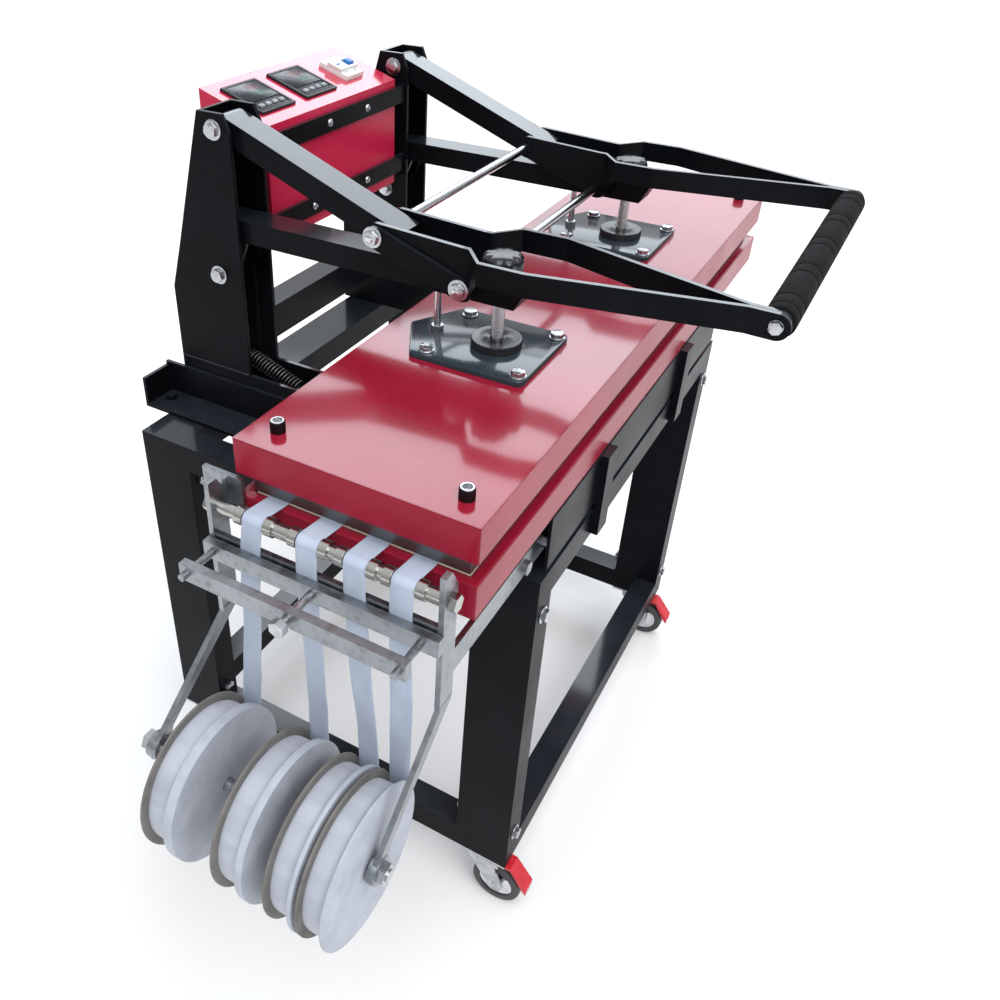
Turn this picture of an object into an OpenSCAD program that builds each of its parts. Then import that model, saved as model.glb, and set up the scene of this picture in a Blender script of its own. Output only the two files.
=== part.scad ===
// Lanyard heat press: padded bed and heated platen under two toggle units on a wheeled stand,
// with a feed end that carries four reels of tape.
// X runs along the platen (the feed end is at -X), -Y is the operator's side, Z = 0 is the floor.
// Every module is drawn about the middle of the platen; the last block moves all to the frame's origin.

/* [Platen and bed] */
// Length of the platen cover and of the lower tray
platen_l = 1025; // [900:5:1100]
// Depth of the platen cover and of the lower tray
platen_d = 276; // [250:1:300]
// Height of the platen cover
cover_h = 42; // [36:1:50]
// Length of the heating plate
heat_l = 1000; // [880:5:1000]
// Depth of the heating plate
heat_d = 250; // [230:1:250]
// Height of the heating plate that shows below the cover
heat_show = 25; // [15:1:30]
// Height of the lower tray
tray_h = 40.1; // [34:0.1:50]
// Thickness of the silicone pad
pad_t = 6; // [4:1:10]

/* [Stand] */
// Length of the stand
stand_l = 690; // [600:5:760]
// Depth of the stand
stand_d = 595; // [560:5:640]
// Height of the stand without its casters
stand_h = 539; // [450:1:700]
// Width of the stand's square tube
tube = 40; // [30:1:50]
// Wall of the stand's square tube
tube_wall = 2; // [1.5:0.1:4]
// Front face of the stand, from the middle of the platen
stand_front = -139; // [-150:1:-130]
// Height of a caster
caster_h = 95; // [85:1:120]
// Diameter of a caster wheel
wheel_dia = 75; // [60:1:76]

/* [Toggle units] */
// Distance of each toggle unit from the middle of the platen
unit_x = 206; // [190:1:230]
// Width of the arm and link tubes
arm_w = 40; // [30:1:42]
// Height of the arm and link tubes
arm_h = 29; // [24:1:32]
// Distance of the upper column pivot behind the platen's middle
a_y = 369.3; // [360:0.1:376]
// Height of the upper column pivot above the cover
a_z = 203.3; // [195:0.1:210]
// Distance of the lower column pivot behind the platen's middle
b_y = 382.1; // [375:0.1:390]
// Height of the lower column pivot above the cover
b_z = 16.7; // [10:0.1:24]
// Distance of the knee behind the platen's middle
p1_y = 143.6; // [140:0.1:148]
// Height of the knee above the cover
p1_z = 118.1; // [116:0.1:120]
// Distance of the arm's shaft behind the platen's middle
p2_y = 32; // [30:0.1:36]
// Height of the arm's shaft above the cover
p2_z = 80; // [78:0.1:82]
// Diameter of the two cross shafts
shaft_dia = 12; // [10:0.5:14]
// Distance of the handle in front of the platen's middle
handle_y = -294.5; // [-330:0.5:-270]
// Height of the handle above the cover
handle_z = 109; // [106:0.5:112]
// Diameter of the foam grip
grip_dia = 34; // [28:1:40]

/* [Columns and controls] */
// Width of a column
column_w = 64; // [60:1:70]
// Thickness of the column plates
column_t = 5; // [3:0.5:5]
// Height of a base channel
base_h = 68; // [50:1:80]
// Width of the control box
box_w = 310; // [290:1:340]
// Width of a controller's bezel
meter_w = 72; // [60:1:76]

/* [Feed end] */
// Width of a lanyard tape
tape_w = 25; // [15:1:28]
// Thickness of a lanyard tape
tape_t = 1; // [0.6:0.1:1.2]
// Diameter of a reel's flanges
reel_dia = 177.4; // [120:0.2:190]
// Diameter of a reel's winding
winding_dia = 160; // [100:1:164]
// Diameter of the reel axle
axle_dia = 14; // [10:1:16]
// Diameter of the roller shaft
roller_dia = 15; // [12:1:16]
// Thickness of the galvanized plates
feed_t = 6; // [4:0.5:8]
// Width of the galvanized plates
feed_w = 25; // [22:1:30]

/* [Hidden] */
// Clearances: running fit, gap between moving faces, gap beside a soft piece, overrun of every cut
fit = 0.05;
play = 0.6;
soft_gap = 0.3;
over = 1;

// Heights of the levels, from the floor up
stand_top = caster_h + stand_h;
base_top = stand_top + base_h;
bearer_h = 14.3;
tray_z = base_top + bearer_h;
bed_z = tray_z + tray_h;
heat_z = bed_z + tape_t + 2 * soft_gap;
cover_z = heat_z + heat_show;
top_z = cover_z + cover_h;

// Pivots in the side view, as [y, z]
pivot_a = [a_y, top_z + a_z];
pivot_b = [b_y, top_z + b_z];
knee = [p1_y, top_z + p1_z];
arm_pin = [p2_y, top_z + p2_z];
handle_axis = [handle_y, top_z + handle_z];
shaft_r = shaft_dia / 2;

// Stand
stand_back = stand_front + stand_d;
leg_x = stand_l / 2 - tube / 2;
bolt_r = 5;
bolt_head_r = 8.5;
bolt_head_h = 6.5;
frame_bolt_inset = 62;
rear_bearer_w = 27;

// Casters
caster_y_front = stand_front + tube;
caster_y_rear = stand_back - tube;
caster_trail = 25;
wheel_r = wheel_dia / 2;
wheel_w = 25;
wheel_axle_r = 4;
plate_t = 4;
race_r = 19;
race_h = 10;
fork_t = 3;
fork_gap = 1.5;
kingpin_r = 6;
pedal_w = 24;
pedal_t = 5;
pedal_pin_r = 2.2;

// Base channels, cross tubes and front rail
base_t = 5;
base_inset = 4;
angle_w = 54;
angle_h = 51;
base_back = 497;
foot_r = 16;
foot_t = 6;
foot_out = 49;
foot_bolt_y = 476;
bearer_w = 30;
bearer_y = 95;
bearer_l = 600;
crossbeam_h = 50;
crossbeam_w = 40;
crossbeam_y = 385;
rail_l = 660;
rail_h = 70;
rail_t = 4;
rail_flange = 23;
rail_drop = 2;
hook_w = 30;
hook_t = 10;
hook_h = 112;
hook_x_near = -172;
hook_x_far = 140;

// Columns, whose outlines are measured from the cover's top
column_front = 345;
column_top_h = 223;
column_top_back = 393;
column_bend_back = 444.6;
column_bend_h = 50;
column_foot_back = 466;
column_foot_h = 18;
column_chamfer_y = 10;
column_chamfer_z = 22;

// Control box and bars
box_front = 355;
box_back = 461;
box_front_top_h = 190;
box_back_top_h = 224;
box_bottom_h = 36;
box_wall = 2;
gland_r = 10;
gland_up = 30;
bar_h = 25;
bar_t = 6;
upper_bar_h = 155;
lower_bar_h = 52;
dome_r = 5;
dome_h = 3.5;
dome_xs = [-25, 69];
lower_dome_xs = [-67, 67];

// Panel instruments, placed along the sloped panel
meter_xs = [-99, -2];
meter_v = 58;
meter_bezel_h = 7;
meter_body_w = 66;
meter_depth = 48;
meter_window_w = 56;
meter_window_h = 30;
meter_recess = 1.2;
key_w = 9;
key_h = 6;
key_rise = 1;
key_depth = 3;
key_pitch = 14;
key_v = -22;
key_travel = 1;
breaker_x = 92;
breaker_v = 56;
breaker_w = 44;
breaker_l = 50;
breaker_rise = 14;
breaker_depth = 30;
toggle_w = 14;
toggle_r = 7;
toggle_l = 13;
toggle_x = 11;

// Toggle units
link_tip = 30;
notch_depth = 12;
slot_back = 5.2;
slot_drop = -0.55;
slot_play = 0.9;
arm_front = -43;
arm_front_slope = 15;
arm_back = 404;
arm_drop = 2;
lug_t = 6;
lug_r = 20;
tail_y = 372;
tail_z = -111;
tail_r = 9;
spring_pin_r = 3;
bar_plate = 6;
bar_inner = 25;
bulge_inner = 55;
bar_bend_y = 25;
bulge_start_y = 0;
bulge_end_y = -54;
bar_top_h = 127;
bar_bottom_h = 101;
knee_boss_r = 15;
pin_boss_r = 16;
bar_end_r = 14;
bar_end_shift = -2;
doubler_w = 26;
doubler_t = 5;
nut_r = 9.5;
nut_h = 8;
handle_rod_r = 8;
grip_l = 403;
groove_w = 3;
groove_depth = 1.5;
groove_pitch = 44;
groove_pair = 8;

// Springs between the arm's tail and a post on the base channel
spring_r = 10.5;
spring_wire = 2.6;
spring_turns = 16;
spring_front_y = 278;
spring_front_z = -144;
post_r = 5;
hook_gap = 3;

// Platen fittings
mount_w = 136;
mount_front = -65;
mount_back = 75;
mount_apex = 112;
mount_t = 6.5;
mount_bolt = 54.5;
mount_bolt_ys = [-54.5, 60];
spindle_r = 8;
spindle_y = -2;
collar_r = 30;
collar_h = 10;
guide_r = 4.25;
guide_y = 76;
guide_nut_r = 8;
guide_nut_h = 6;
knob_r = 25.2;
knob_h = 22;
knob_lobes = 8;
knob_bite_r = 7;
cap_screw_x = 479;
cap_screw_y = 106.5;
cap_r = 8;
cap_h = 13;
cap_socket_r = 4;
cap_socket_h = 6;
cap_shank_r = 5;
cover_wall = 2;
heat_t = 30;
knob_overlap = 2.5;

// Feed end
feed_back_y = 143;
feed_front_y = -119;
feed_x = -549;
roller_x = -537;
roller_z = bed_z - 2.4;
roller_r = roller_dia / 2;
feed_top_h = 25;
leg_knee_z = 205;
reel_x = -632.6;
reel_z = 368.4;
feed_arm_h = 30;
feed_arm_drop = 142;
feed_arm_end = -292;
back_leg_out = 40;
front_leg_in = 16;
boss_out = 2;
boss_back_out = 4;
leg_boss_r = 16;
leg_lap = 4;
leg_extra = 8;
strip_bolt_xs = [-365, -311];
flange_low = 95;
flange_high = 45;
flange_back = 178;
flange_front = 127;
collar_ring_r = 10;
collar_ring_w = 10;
collar_screw_r = 2;
strip_t = 6;
strip_h = 25;
strip_drop = 99;
clamp_t = 10;
clamp_h = 20;
clamp_drop = 104;
clamp_reach = 7;
rod_r = 4;
rod_back_y = 138;
rod_front_y = -107;
front_bar_x = -599;
front_bar_t = 10;
screw_r = 5;
screw_y = 15;
screw_head_r = 9;
screw_head_h = 9;
axle_r = axle_dia / 2;
hub_nut_r = 13;
hub_nut_h = 10;
flange_t = 3;
tape_ys = [94.4, 28.6, -26.3, -78.9];
reel_left_ys = [130.5, 37, -28.5, -67];
reel_winding_ws = [28, 28, 26, 26];
reel_disc_ts = [12, 9, 5, 2];
hub_r = 20;

$fn = 48;

// Shared shapes
module block(x0, x1, y0, y1, z0, z1) {
  translate([x0, y0, z0]) cube([x1 - x0, y1 - y0, z1 - z0]);
}

// Extrudes a side-view outline in [y, z] along X
module side(x0, x1) {
  translate([x0, 0, 0]) rotate([90, 0, 90]) linear_extrude(x1 - x0) children();
}

// Round bar along X through a side-view point
module bar_x(p, r, x0, x1) {
  translate([x0, p[0], p[1]]) rotate([0, 90, 0]) cylinder(r = r, h = x1 - x0);
}

// Round bar along Y through [x, z]
module bar_y(p, r, y0, y1) {
  translate([p[0], y1, p[1]]) rotate([90, 0, 0]) cylinder(r = r, h = y1 - y0);
}

// Hexagon along X through a side-view point
module hex_x(p, r, x0, x1) {
  translate([x0, p[0], p[1]]) rotate([0, 90, 0]) cylinder(r = r, h = x1 - x0, $fn = 6);
}

// Hexagon along Y through [x, z]
module hex_y(p, r, y0, y1) {
  translate([p[0], y1, p[1]]) rotate([90, 0, 0]) cylinder(r = r, h = y1 - y0, $fn = 6);
}

// Both toggle units: the near one and its mirror image
module both_units() {
  translate([-unit_x, 0, 0]) children();
  translate([unit_x, 0, 0]) mirror([1, 0, 0]) children();
}

// Ring of square tube standing in XZ, hollow, with open leg ends
module tube_ring(l, h) {
  difference() {
    cube([l, tube, h]);
    translate([tube, -over, tube]) cube([l - 2 * tube, tube + 2 * over, h - 2 * tube]);
    difference() {
      translate([tube_wall, tube_wall, -over])
        cube([l - 2 * tube_wall, tube - 2 * tube_wall, h - tube_wall + over]);
      translate([tube - tube_wall, 0, tube - tube_wall])
        cube([l - 2 * tube + 2 * tube_wall, tube, h - 2 * tube + 2 * tube_wall]);
      translate([tube - tube_wall, 0, -2 * over])
        cube([l - 2 * tube + 2 * tube_wall, tube, tube_wall + 2 * over]);
    }
  }
}

// Heights of the bolts that join the frames
function bolt_zs() = [caster_h + frame_bolt_inset, stand_top - frame_bolt_inset];

module frame_bolt_holes(r, y0, y1) {
  for (x = [-leg_x, leg_x], z = bolt_zs()) bar_y([x, z], r, y0, y1);
}

module stand_side_frames() {
  color("#1c1d20") {
    for (y = [stand_front, stand_back - tube]) {
      difference() {
        translate([-stand_l / 2, y, caster_h]) tube_ring(stand_l, stand_h);
        frame_bolt_holes(bolt_r + 2 * fit, y - over, y + tube + over);
      }
    }
    difference() {
      block(-stand_l / 2 + tube, stand_l / 2 - tube, stand_back - tube - rear_bearer_w, stand_back - tube,
        stand_top - tube, stand_top);
      block(-stand_l / 2 + tube - over, stand_l / 2 - tube + over, stand_back - tube - rear_bearer_w + tube_wall,
        stand_back - tube - tube_wall, stand_top - tube + tube_wall, stand_top - tube_wall);
    }
  }
}

module stand_end_frames() {
  l = stand_d - 2 * tube;
  color("#1c1d20") for (x = [-stand_l / 2, stand_l / 2 - tube]) {
    difference() {
      translate([x + tube, stand_front + tube, caster_h]) rotate([0, 0, 90]) tube_ring(l, stand_h);
      frame_bolt_holes(bolt_r + 2 * fit, stand_front, stand_back);
    }
  }
}

// Hexagon head bolts along Y through each pair of legs, with nuts inside
module frame_bolts() {
  color("#b9bcc0") for (x = [-leg_x, leg_x], z = bolt_zs()) {
    bar_y([x, z], bolt_r, stand_front - over, stand_front + 2 * tube + bolt_head_h);
    hex_y([x, z], bolt_head_r, stand_front - bolt_head_h, stand_front);
    hex_y([x, z], bolt_head_r, stand_front + 2 * tube, stand_front + 2 * tube + bolt_head_h);
    bar_y([x, z], bolt_r, stand_back - 2 * tube - bolt_head_h, stand_back + over);
    hex_y([x, z], bolt_head_r, stand_back, stand_back + bolt_head_h);
    hex_y([x, z], bolt_head_r, stand_back - 2 * tube - bolt_head_h, stand_back - 2 * tube);
  }
}

// Casters: number 1 and 2 stand at the front, 3 and 4 at the back
pedal_gap = 5;
function caster_at(i) = [i % 2 == 1 ? -leg_x : leg_x, i < 3 ? caster_y_front : caster_y_rear];

module caster_plates() {
  color("#b9bcc0") for (i = [1 : 4]) translate([caster_at(i)[0], caster_at(i)[1], 0]) {
    difference() {
      union() {
        translate([-tube / 2, -tube + over, caster_h - plate_t]) cube([tube, 2 * (tube - over), plate_t]);
        translate([0, 0, caster_h - plate_t - race_h / 2]) cylinder(r = race_r, h = race_h / 2);
      }
      translate([0, 0, caster_h - plate_t - race_h]) cylinder(r = kingpin_r + fit, h = plate_t + 2 * race_h);
    }
  }
}

fork_top = caster_h - plate_t - race_h / 2 - play;
fork_in = wheel_w / 2 + fork_gap;

module fork_cheek() {
  polygon([
    [-race_r, fork_top - plate_t], [race_r, fork_top - plate_t], [race_r, fork_top],
    [-race_r, fork_top]
  ]);
  polygon([
    [-caster_trail - wheel_r / 3, wheel_r], [-caster_trail + wheel_r / 3, wheel_r],
    [race_r, fork_top - plate_t], [race_r, fork_top], [-race_r, fork_top]
  ]);
  translate([-caster_trail, wheel_r]) circle(r = wheel_r / 3);
}

// Ears at the back of a fork that carries a pedal
module pedal_ear() {
  polygon([
    pedal_pivot + [0, 2 * pedal_pin_r], pedal_pivot + [0, -2 * pedal_pin_r], [0, fork_top - 3 * plate_t],
    [0, fork_top]
  ]);
  translate(pedal_pivot) circle(r = 2 * pedal_pin_r);
}

module caster_fork(i) {
  c = caster_at(i);
  cut_r = kingpin_r;
  color("#c4c7ca") translate([c[0], c[1], 0]) {
    for (s = [-1, 1]) side(s > 0 ? fork_in : -fork_in - fork_t, s > 0 ? fork_in + fork_t : -fork_in) {
      fork_cheek();
      if (i < 3) pedal_ear();
    }
    if (i < 3) bar_x(pedal_pivot, pedal_pin_r, -fork_in - over, fork_in + over);
    translate([0, 0, fork_top - plate_t]) cylinder(r = race_r, h = plate_t);
    translate([-fork_in - fork_t / 2, -race_r, fork_top - plate_t]) cube([2 * fork_in + fork_t, 2 * race_r, plate_t]);
    translate([0, 0, fork_top - over]) cylinder(r = cut_r, h = caster_h - fork_top);
    bar_x([-caster_trail, wheel_r], wheel_axle_r, -fork_in - fork_t - over, fork_in + fork_t + over);
  }
}

module caster_wheel(i) {
  c = caster_at(i);
  color("#2a2a2c") translate([c[0], c[1] - caster_trail, wheel_r]) rotate([0, 90, 0]) rotate_extrude() {
    difference() {
      translate([wheel_axle_r + fit, -wheel_w / 2]) square([wheel_r - wheel_axle_r - fit, wheel_w]);
      translate([wheel_r, wheel_w / 2]) circle(r = wheel_w / 7);
      translate([wheel_r, -wheel_w / 2]) circle(r = wheel_w / 7);
      translate([wheel_r / 2.4, wheel_w / 2.6]) square([wheel_r / 3, wheel_w / 4]);
      translate([wheel_r / 2.4, -wheel_w / 2.6 - wheel_w / 4]) square([wheel_r / 3, wheel_w / 4]);
    }
  }
}

pedal_pivot = [-race_r - 2 * pedal_pin_r - 2 * play, fork_top - 2 * pedal_pin_r];

// Foot pedal hinged at the back of the fork, over the wheel's trailing end
module caster_pedal(i) {
  c = caster_at(i);
  tip = [-caster_trail - wheel_r - pedal_gap, wheel_r + 2 * pedal_t];
  knee = wheel_r / 2 + pedal_gap / 2;
  color("#c3122e") translate([c[0], c[1], 0]) side(-pedal_w / 2, pedal_w / 2) difference() {
    union() {
      translate(pedal_pivot) circle(r = 2 * pedal_pin_r);
      polygon([
        pedal_pivot + [0, 2 * pedal_pin_r], pedal_pivot + [-knee, 2 * pedal_pin_r],
        tip + [-pedal_t, pedal_t], tip + [-pedal_t, -pedal_t], tip,
        pedal_pivot + [-knee, -over], pedal_pivot + [0, -over]
      ]);
    }
    translate(pedal_pivot) circle(r = pedal_pin_r + fit);
  }
}

// Open channel along Y under each column, with an angle beside it that reaches back past the stand
base_x = column_w / 2;
base_front = stand_front + base_inset;

module base_channel() {
  difference() {
    block(-base_x, base_x, base_front, column_foot_back, stand_top, base_top);
    block(-base_x + base_t, base_x - base_t, base_front - over, column_foot_back + over,
      stand_top + base_t, base_top + over);
  }
  bar_x([spring_front_y, top_z + spring_front_z], post_r, -base_x, base_x);
}

module base_angle() {
  x0 = -base_x - angle_w;
  foot = [-base_x - foot_out / 2, foot_bolt_y, stand_top];
  block(-base_x - base_t, -base_x, base_front, base_back, stand_top, stand_top + angle_h);
  block(x0, -base_x, base_front, base_back, stand_top, stand_top + base_t);
  block(x0, -base_x, base_back - base_t, base_back, stand_top, stand_top + angle_h - base_t);
  translate(foot - [0, 0, foot_t]) cylinder(r = foot_r, h = foot_t);
  translate(foot) cylinder(r = bolt_head_r, h = base_t + bolt_head_h, $fn = 6);
}

module base_channels() {
  color("#1c1d20") both_units() {
    base_channel();
    base_angle();
  }
}

module front_rail() {
  z1 = tray_z - rail_drop;
  y1 = stand_front + rail_t;
  color("#1c1d20") {
    block(-rail_l / 2, rail_l / 2, stand_front, y1, z1 - rail_h, z1);
    block(-rail_l / 2, rail_l / 2, stand_front, y1 + rail_flange, z1 - rail_t, z1);
    for (x = [hook_x_near, hook_x_far])
      block(x - hook_w / 2, x + hook_w / 2, stand_front - hook_t, stand_front, z1 - rail_t - hook_h, z1);
  }
}

// Tube along X with open ends
module tube_x(l, y, z, w, h, t) {
  difference() {
    block(-l / 2, l / 2, y, y + w, z, z + h);
    block(-l / 2 - over, l / 2 + over, y + t, y + w - t, z + t, z + h - t);
  }
}

module cross_tubes() {
  color("#1c1d20") {
    for (y = [-bearer_y, bearer_y]) tube_x(bearer_l, y - bearer_w / 2, base_top, bearer_w, bearer_h, tube_wall);
    tube_x(2 * unit_x - column_w, crossbeam_y, base_top, crossbeam_w, crossbeam_h, tube_wall);
  }
}

module lower_tray() {
  color("#a3122b") difference() {
    block(-platen_l / 2, platen_l / 2, -platen_d / 2, platen_d / 2, tray_z, bed_z);
    block(-platen_l / 2 + cover_wall, platen_l / 2 - cover_wall, -platen_d / 2 + cover_wall,
      platen_d / 2 - cover_wall, tray_z + cover_wall, bed_z + over);
  }
}

module bed_board() {
  color("#c9bfae") block(-platen_l / 2 + 2 * cover_wall, platen_l / 2 - 2 * cover_wall,
    -platen_d / 2 + 2 * cover_wall, platen_d / 2 - 2 * cover_wall, tray_z + cover_wall, bed_z - pad_t);
}

module silicone_pad() {
  color("#e6ddc9") block(-heat_l / 2, heat_l / 2, -heat_d / 2, heat_d / 2, bed_z - pad_t, bed_z);
}

// Columns: side plates and a back web, open to the front
module column_outline(back) {
  foot = base_top;
  polygon([
    [column_front, foot], [column_foot_back - back, foot], [column_foot_back - back, top_z - column_foot_h],
    [column_bend_back - back, top_z + column_bend_h], [column_top_back - back, top_z + column_top_h],
    [column_front + column_chamfer_y, top_z + column_top_h],
    [column_front, top_z + column_top_h - column_chamfer_z]
  ]);
}

module column_hollow_outline() {
  polygon([
    [column_front - over, base_top - over], [column_foot_back - column_t, base_top - over],
    [column_foot_back - column_t, top_z - column_foot_h], [column_bend_back - column_t, top_z + column_bend_h],
    [column_top_back - column_t, top_z + column_top_h + over], [column_front - over, top_z + column_top_h + over]
  ]);
}

module columns() {
  color("#1c1d20") both_units() difference() {
    side(-column_w / 2, column_w / 2) column_outline(0);
    side(-column_w / 2 + column_t, column_w / 2 - column_t) column_hollow_outline();
    bar_x(pivot_a, shaft_r + fit, -column_w, column_w);
    bar_x(pivot_b, shaft_r + fit, -column_w, column_w);
  }
}

// Sloped panel frame: u along X, v up the slope, w out of the panel
panel_run = box_back - box_front;
panel_rise = box_back_top_h - box_front_top_h;
panel_angle = atan2(panel_rise, panel_run);

module on_panel(u, v) {
  translate([u, box_front, top_z + box_front_top_h]) rotate([panel_angle, 0, 0]) translate([0, v, 0]) children();
}

module panel_block(u, v, wu, wv, w0, w1) {
  on_panel(u, v) translate([-wu / 2, -wv / 2, w0]) cube([wu, wv, w1 - w0]);
}

module box_outline(t) {
  polygon([
    [box_front + t, top_z + box_bottom_h + t], [box_back - t, top_z + box_bottom_h + t],
    [box_back - t, top_z + box_back_top_h - t], [box_front + t, top_z + box_front_top_h - t]
  ]);
}

module control_box() {
  color("#c01a33") difference() {
    side(-box_w / 2, box_w / 2) box_outline(0);
    side(-box_w / 2 + box_wall, box_w / 2 - box_wall) box_outline(box_wall);
    for (x = meter_xs) panel_block(x, meter_v, meter_body_w + 2 * fit, meter_body_w + 2 * fit, -3 * box_wall, over);
    panel_block(breaker_x, breaker_v, breaker_w + 2 * fit, breaker_l + 2 * fit, -3 * box_wall, over);
    bar_y([box_w / 4, top_z + box_bottom_h + gland_up], gland_r, box_back - box_wall - over, box_back + over);
  }
}

module control_bars() {
  l = 2 * unit_x - column_w;
  color("#1c1d20") {
    block(-l / 2, l / 2, box_front - bar_t, box_front, top_z + upper_bar_h, top_z + upper_bar_h + bar_h);
    block(-l / 2, l / 2, box_front - bar_t, box_front, top_z + lower_bar_h, top_z + lower_bar_h + bar_h);
    for (x = dome_xs) dome(x, top_z + upper_bar_h + bar_h / 2);
    for (x = lower_dome_xs) dome(x, top_z + lower_bar_h + bar_h / 2);
  }
}

// Low round bolt head on the front of a bar
module dome(x, z) {
  translate([x, box_front - bar_t, z]) rotate([90, 0, 0]) cylinder(r1 = dome_r, r2 = dome_r / 2, h = dome_h);
}

module meter(x) {
  difference() {
    union() {
      panel_block(x, meter_v, meter_w, meter_w, 0, meter_bezel_h);
      panel_block(x, meter_v, meter_body_w, meter_body_w, -meter_depth, over);
    }
    panel_block(x, meter_v + meter_w / 8, meter_window_w, meter_window_h, meter_bezel_h - meter_recess,
      meter_bezel_h + over);
    for (k = [0 : 3]) panel_block(key_u(x, k), meter_v + key_v, key_w + 2 * play, key_h + 2 * play,
      meter_bezel_h - key_depth - key_travel, meter_bezel_h + over);
  }
}

function key_u(x, k) = x + (k - 1.5) * key_pitch;

module panel_instruments() {
  color("#17181a") {
    for (x = meter_xs) meter(x);
  }
  color("#e9e9e6") difference() {
    union() {
      panel_block(breaker_x, breaker_v, breaker_w, breaker_l, -breaker_depth, breaker_rise / 2);
      panel_block(breaker_x, breaker_v, breaker_w, breaker_l / 2, 0, breaker_rise);
    }
    panel_block(breaker_x + toggle_x, breaker_v, toggle_w + 2 * play, 2 * toggle_r + 2 * play,
      breaker_rise - toggle_r - play, breaker_rise + over);
    on_panel(breaker_x + toggle_x, breaker_v) translate([0, 0, breaker_rise - toggle_r])
      rotate([0, 90, 0]) cylinder(r = toggle_r + play, h = toggle_w + 2 * play, center = true);
  }
}

// Rocker of the breaker, turning about X
module breaker_toggle() {
  color("#1f6fb5") on_panel(breaker_x + toggle_x, breaker_v) translate([0, 0, breaker_rise - toggle_r]) {
    rotate([0, 90, 0]) cylinder(r = toggle_r, h = toggle_w, center = true);
    rotate([-20, 0, 0]) translate([-toggle_w / 2, -toggle_r / 2, 0]) cube([toggle_w, toggle_r, toggle_l]);
  }
}

// Keys 1 to 4 are on the first controller, 5 to 8 on the second
module key(i) {
  x = meter_xs[floor((i - 1) / 4)];
  k = (i - 1) % 4;
  color("#d8d8d4") panel_block(key_u(x, k), meter_v + key_v, key_w, key_h, meter_bezel_h - key_depth,
    meter_bezel_h + key_rise);
}

// Pivot bolts through the columns, with their nuts
module pivot_bolts() {
  h = column_w / 2;
  color("#b9bcc0") both_units() for (p = [pivot_a, pivot_b]) {
    bar_x(p, shaft_r, -h - over, h + nut_h);
    hex_x(p, nut_r, -h - nut_h, -h);
    hex_x(p, nut_r, h, h + nut_h);
  }
}

// Arm: rectangular tube with a sloped front end, a lug to its pivot and a tail to its spring
arm_top = arm_pin[1] - arm_drop + arm_h / 2;
arm_bottom = arm_top - arm_h;

module arm_outline() {
  polygon([
    [arm_front + arm_front_slope, arm_bottom], [arm_back, arm_bottom], [arm_back, arm_top], [arm_front, arm_top]
  ]);
}

module lug_outline() {
  tail = [tail_y, top_z + tail_z];
  difference() {
    union() {
      polygon([
        [arm_back, arm_bottom + over], [pivot_b[0] - 2 * lug_r, arm_bottom + over],
        pivot_b + [-lug_r, 0], pivot_b + [lug_r, 0]
      ]);
      translate(pivot_b) circle(r = lug_r);
      polygon([pivot_b + [-lug_r, 0], pivot_b + [lug_r, 0], tail + [tail_r, 0], tail + [-tail_r, 0]]);
      translate(tail) circle(r = tail_r);
    }
    translate(pivot_b) circle(r = shaft_r + fit);
  }
}

module arms() {
  w = arm_w / 2;
  color("#1c1d20") both_units() difference() {
    union() {
      difference() {
        side(-w, w) arm_outline();
        block(-w + tube_wall, w - tube_wall, arm_front + 2 * arm_front_slope, arm_back + over,
          arm_bottom + tube_wall, arm_top - tube_wall);
      }
      side(-w, -w + lug_t) lug_outline();
      side(w - lug_t, w) lug_outline();
      bar_x([tail_y, top_z + tail_z], spring_pin_r, -w + over, w - over);
    }
    bar_x(arm_pin, shaft_r + fit, -arm_w, arm_w);
    translate([0, spindle_y, arm_bottom - over]) cylinder(r = spindle_r + fit, h = arm_h + 2 * over);
    translate([0, guide_y, arm_bottom - over]) cylinder(r = guide_r + fit, h = arm_h + 2 * over);
  }
}

// Link: the frame of its outline has u along the link from the column pivot to the knee
link_vec = knee - pivot_a;
link_len = norm(link_vec);
link_angle = atan2(link_vec[1], link_vec[0]);

module in_link() {
  translate([0, pivot_a[0], pivot_a[1]]) rotate([link_angle, 0, 0]) children();
}

module link_side(x0, x1) {
  in_link() translate([x0, 0, 0]) rotate([90, 0, 90]) linear_extrude(x1 - x0) children();
}

module links() {
  w = arm_w / 2;
  h = arm_h / 2;
  color("#1c1d20") both_units() difference() {
    union() {
      link_side(-w, w) {
        translate([0, -h]) square([link_len + link_tip, arm_h]);
        circle(r = h);
      }
    }
    in_link() block(-w + tube_wall, w - tube_wall, h, link_len + link_tip + over, -h + tube_wall, h - tube_wall);
    link_side(-arm_w, arm_w) {
      circle(r = shaft_r + fit);
      translate([link_len, slot_drop]) circle(r = shaft_r + slot_play);
      translate([link_len - slot_back, slot_drop]) circle(r = shaft_r + slot_play);
      translate([link_len - slot_back, slot_drop - shaft_r - slot_play])
        square([slot_back, 2 * (shaft_r + slot_play)]);
    }
    link_side(-arm_w, arm_w) polygon([
      [link_len + link_tip + over, -h - over], [link_len + link_tip + over, h + over],
      [link_len + link_tip - notch_depth / 3, h + over], [link_len + link_tip - notch_depth, 0],
      [link_len + link_tip - notch_depth / 3, -h - over]
    ]);
  }
}

// Lever bars: a plan path cut to a side outline
function bar_path(s) = [
  [s * bar_inner, knee[0] + 2 * knee_boss_r], [s * bar_inner, bar_bend_y], [s * bulge_inner, bulge_start_y],
  [s * bulge_inner, bulge_end_y], [bar_end_x(s), handle_axis[0] + 2 * bar_end_r],
  [bar_end_x(s), handle_axis[0] - 2 * bar_end_r]
];
function bar_end_x(s) = bar_end_shift + (s > 0 ? 0 : -2 * soft_gap);

module bar_plan(s) {
  p = bar_path(s);
  o = [for (i = [len(p) - 1 : -1 : 0]) p[i] + [s * bar_plate, 0]];
  polygon(concat(p, o));
}

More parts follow.
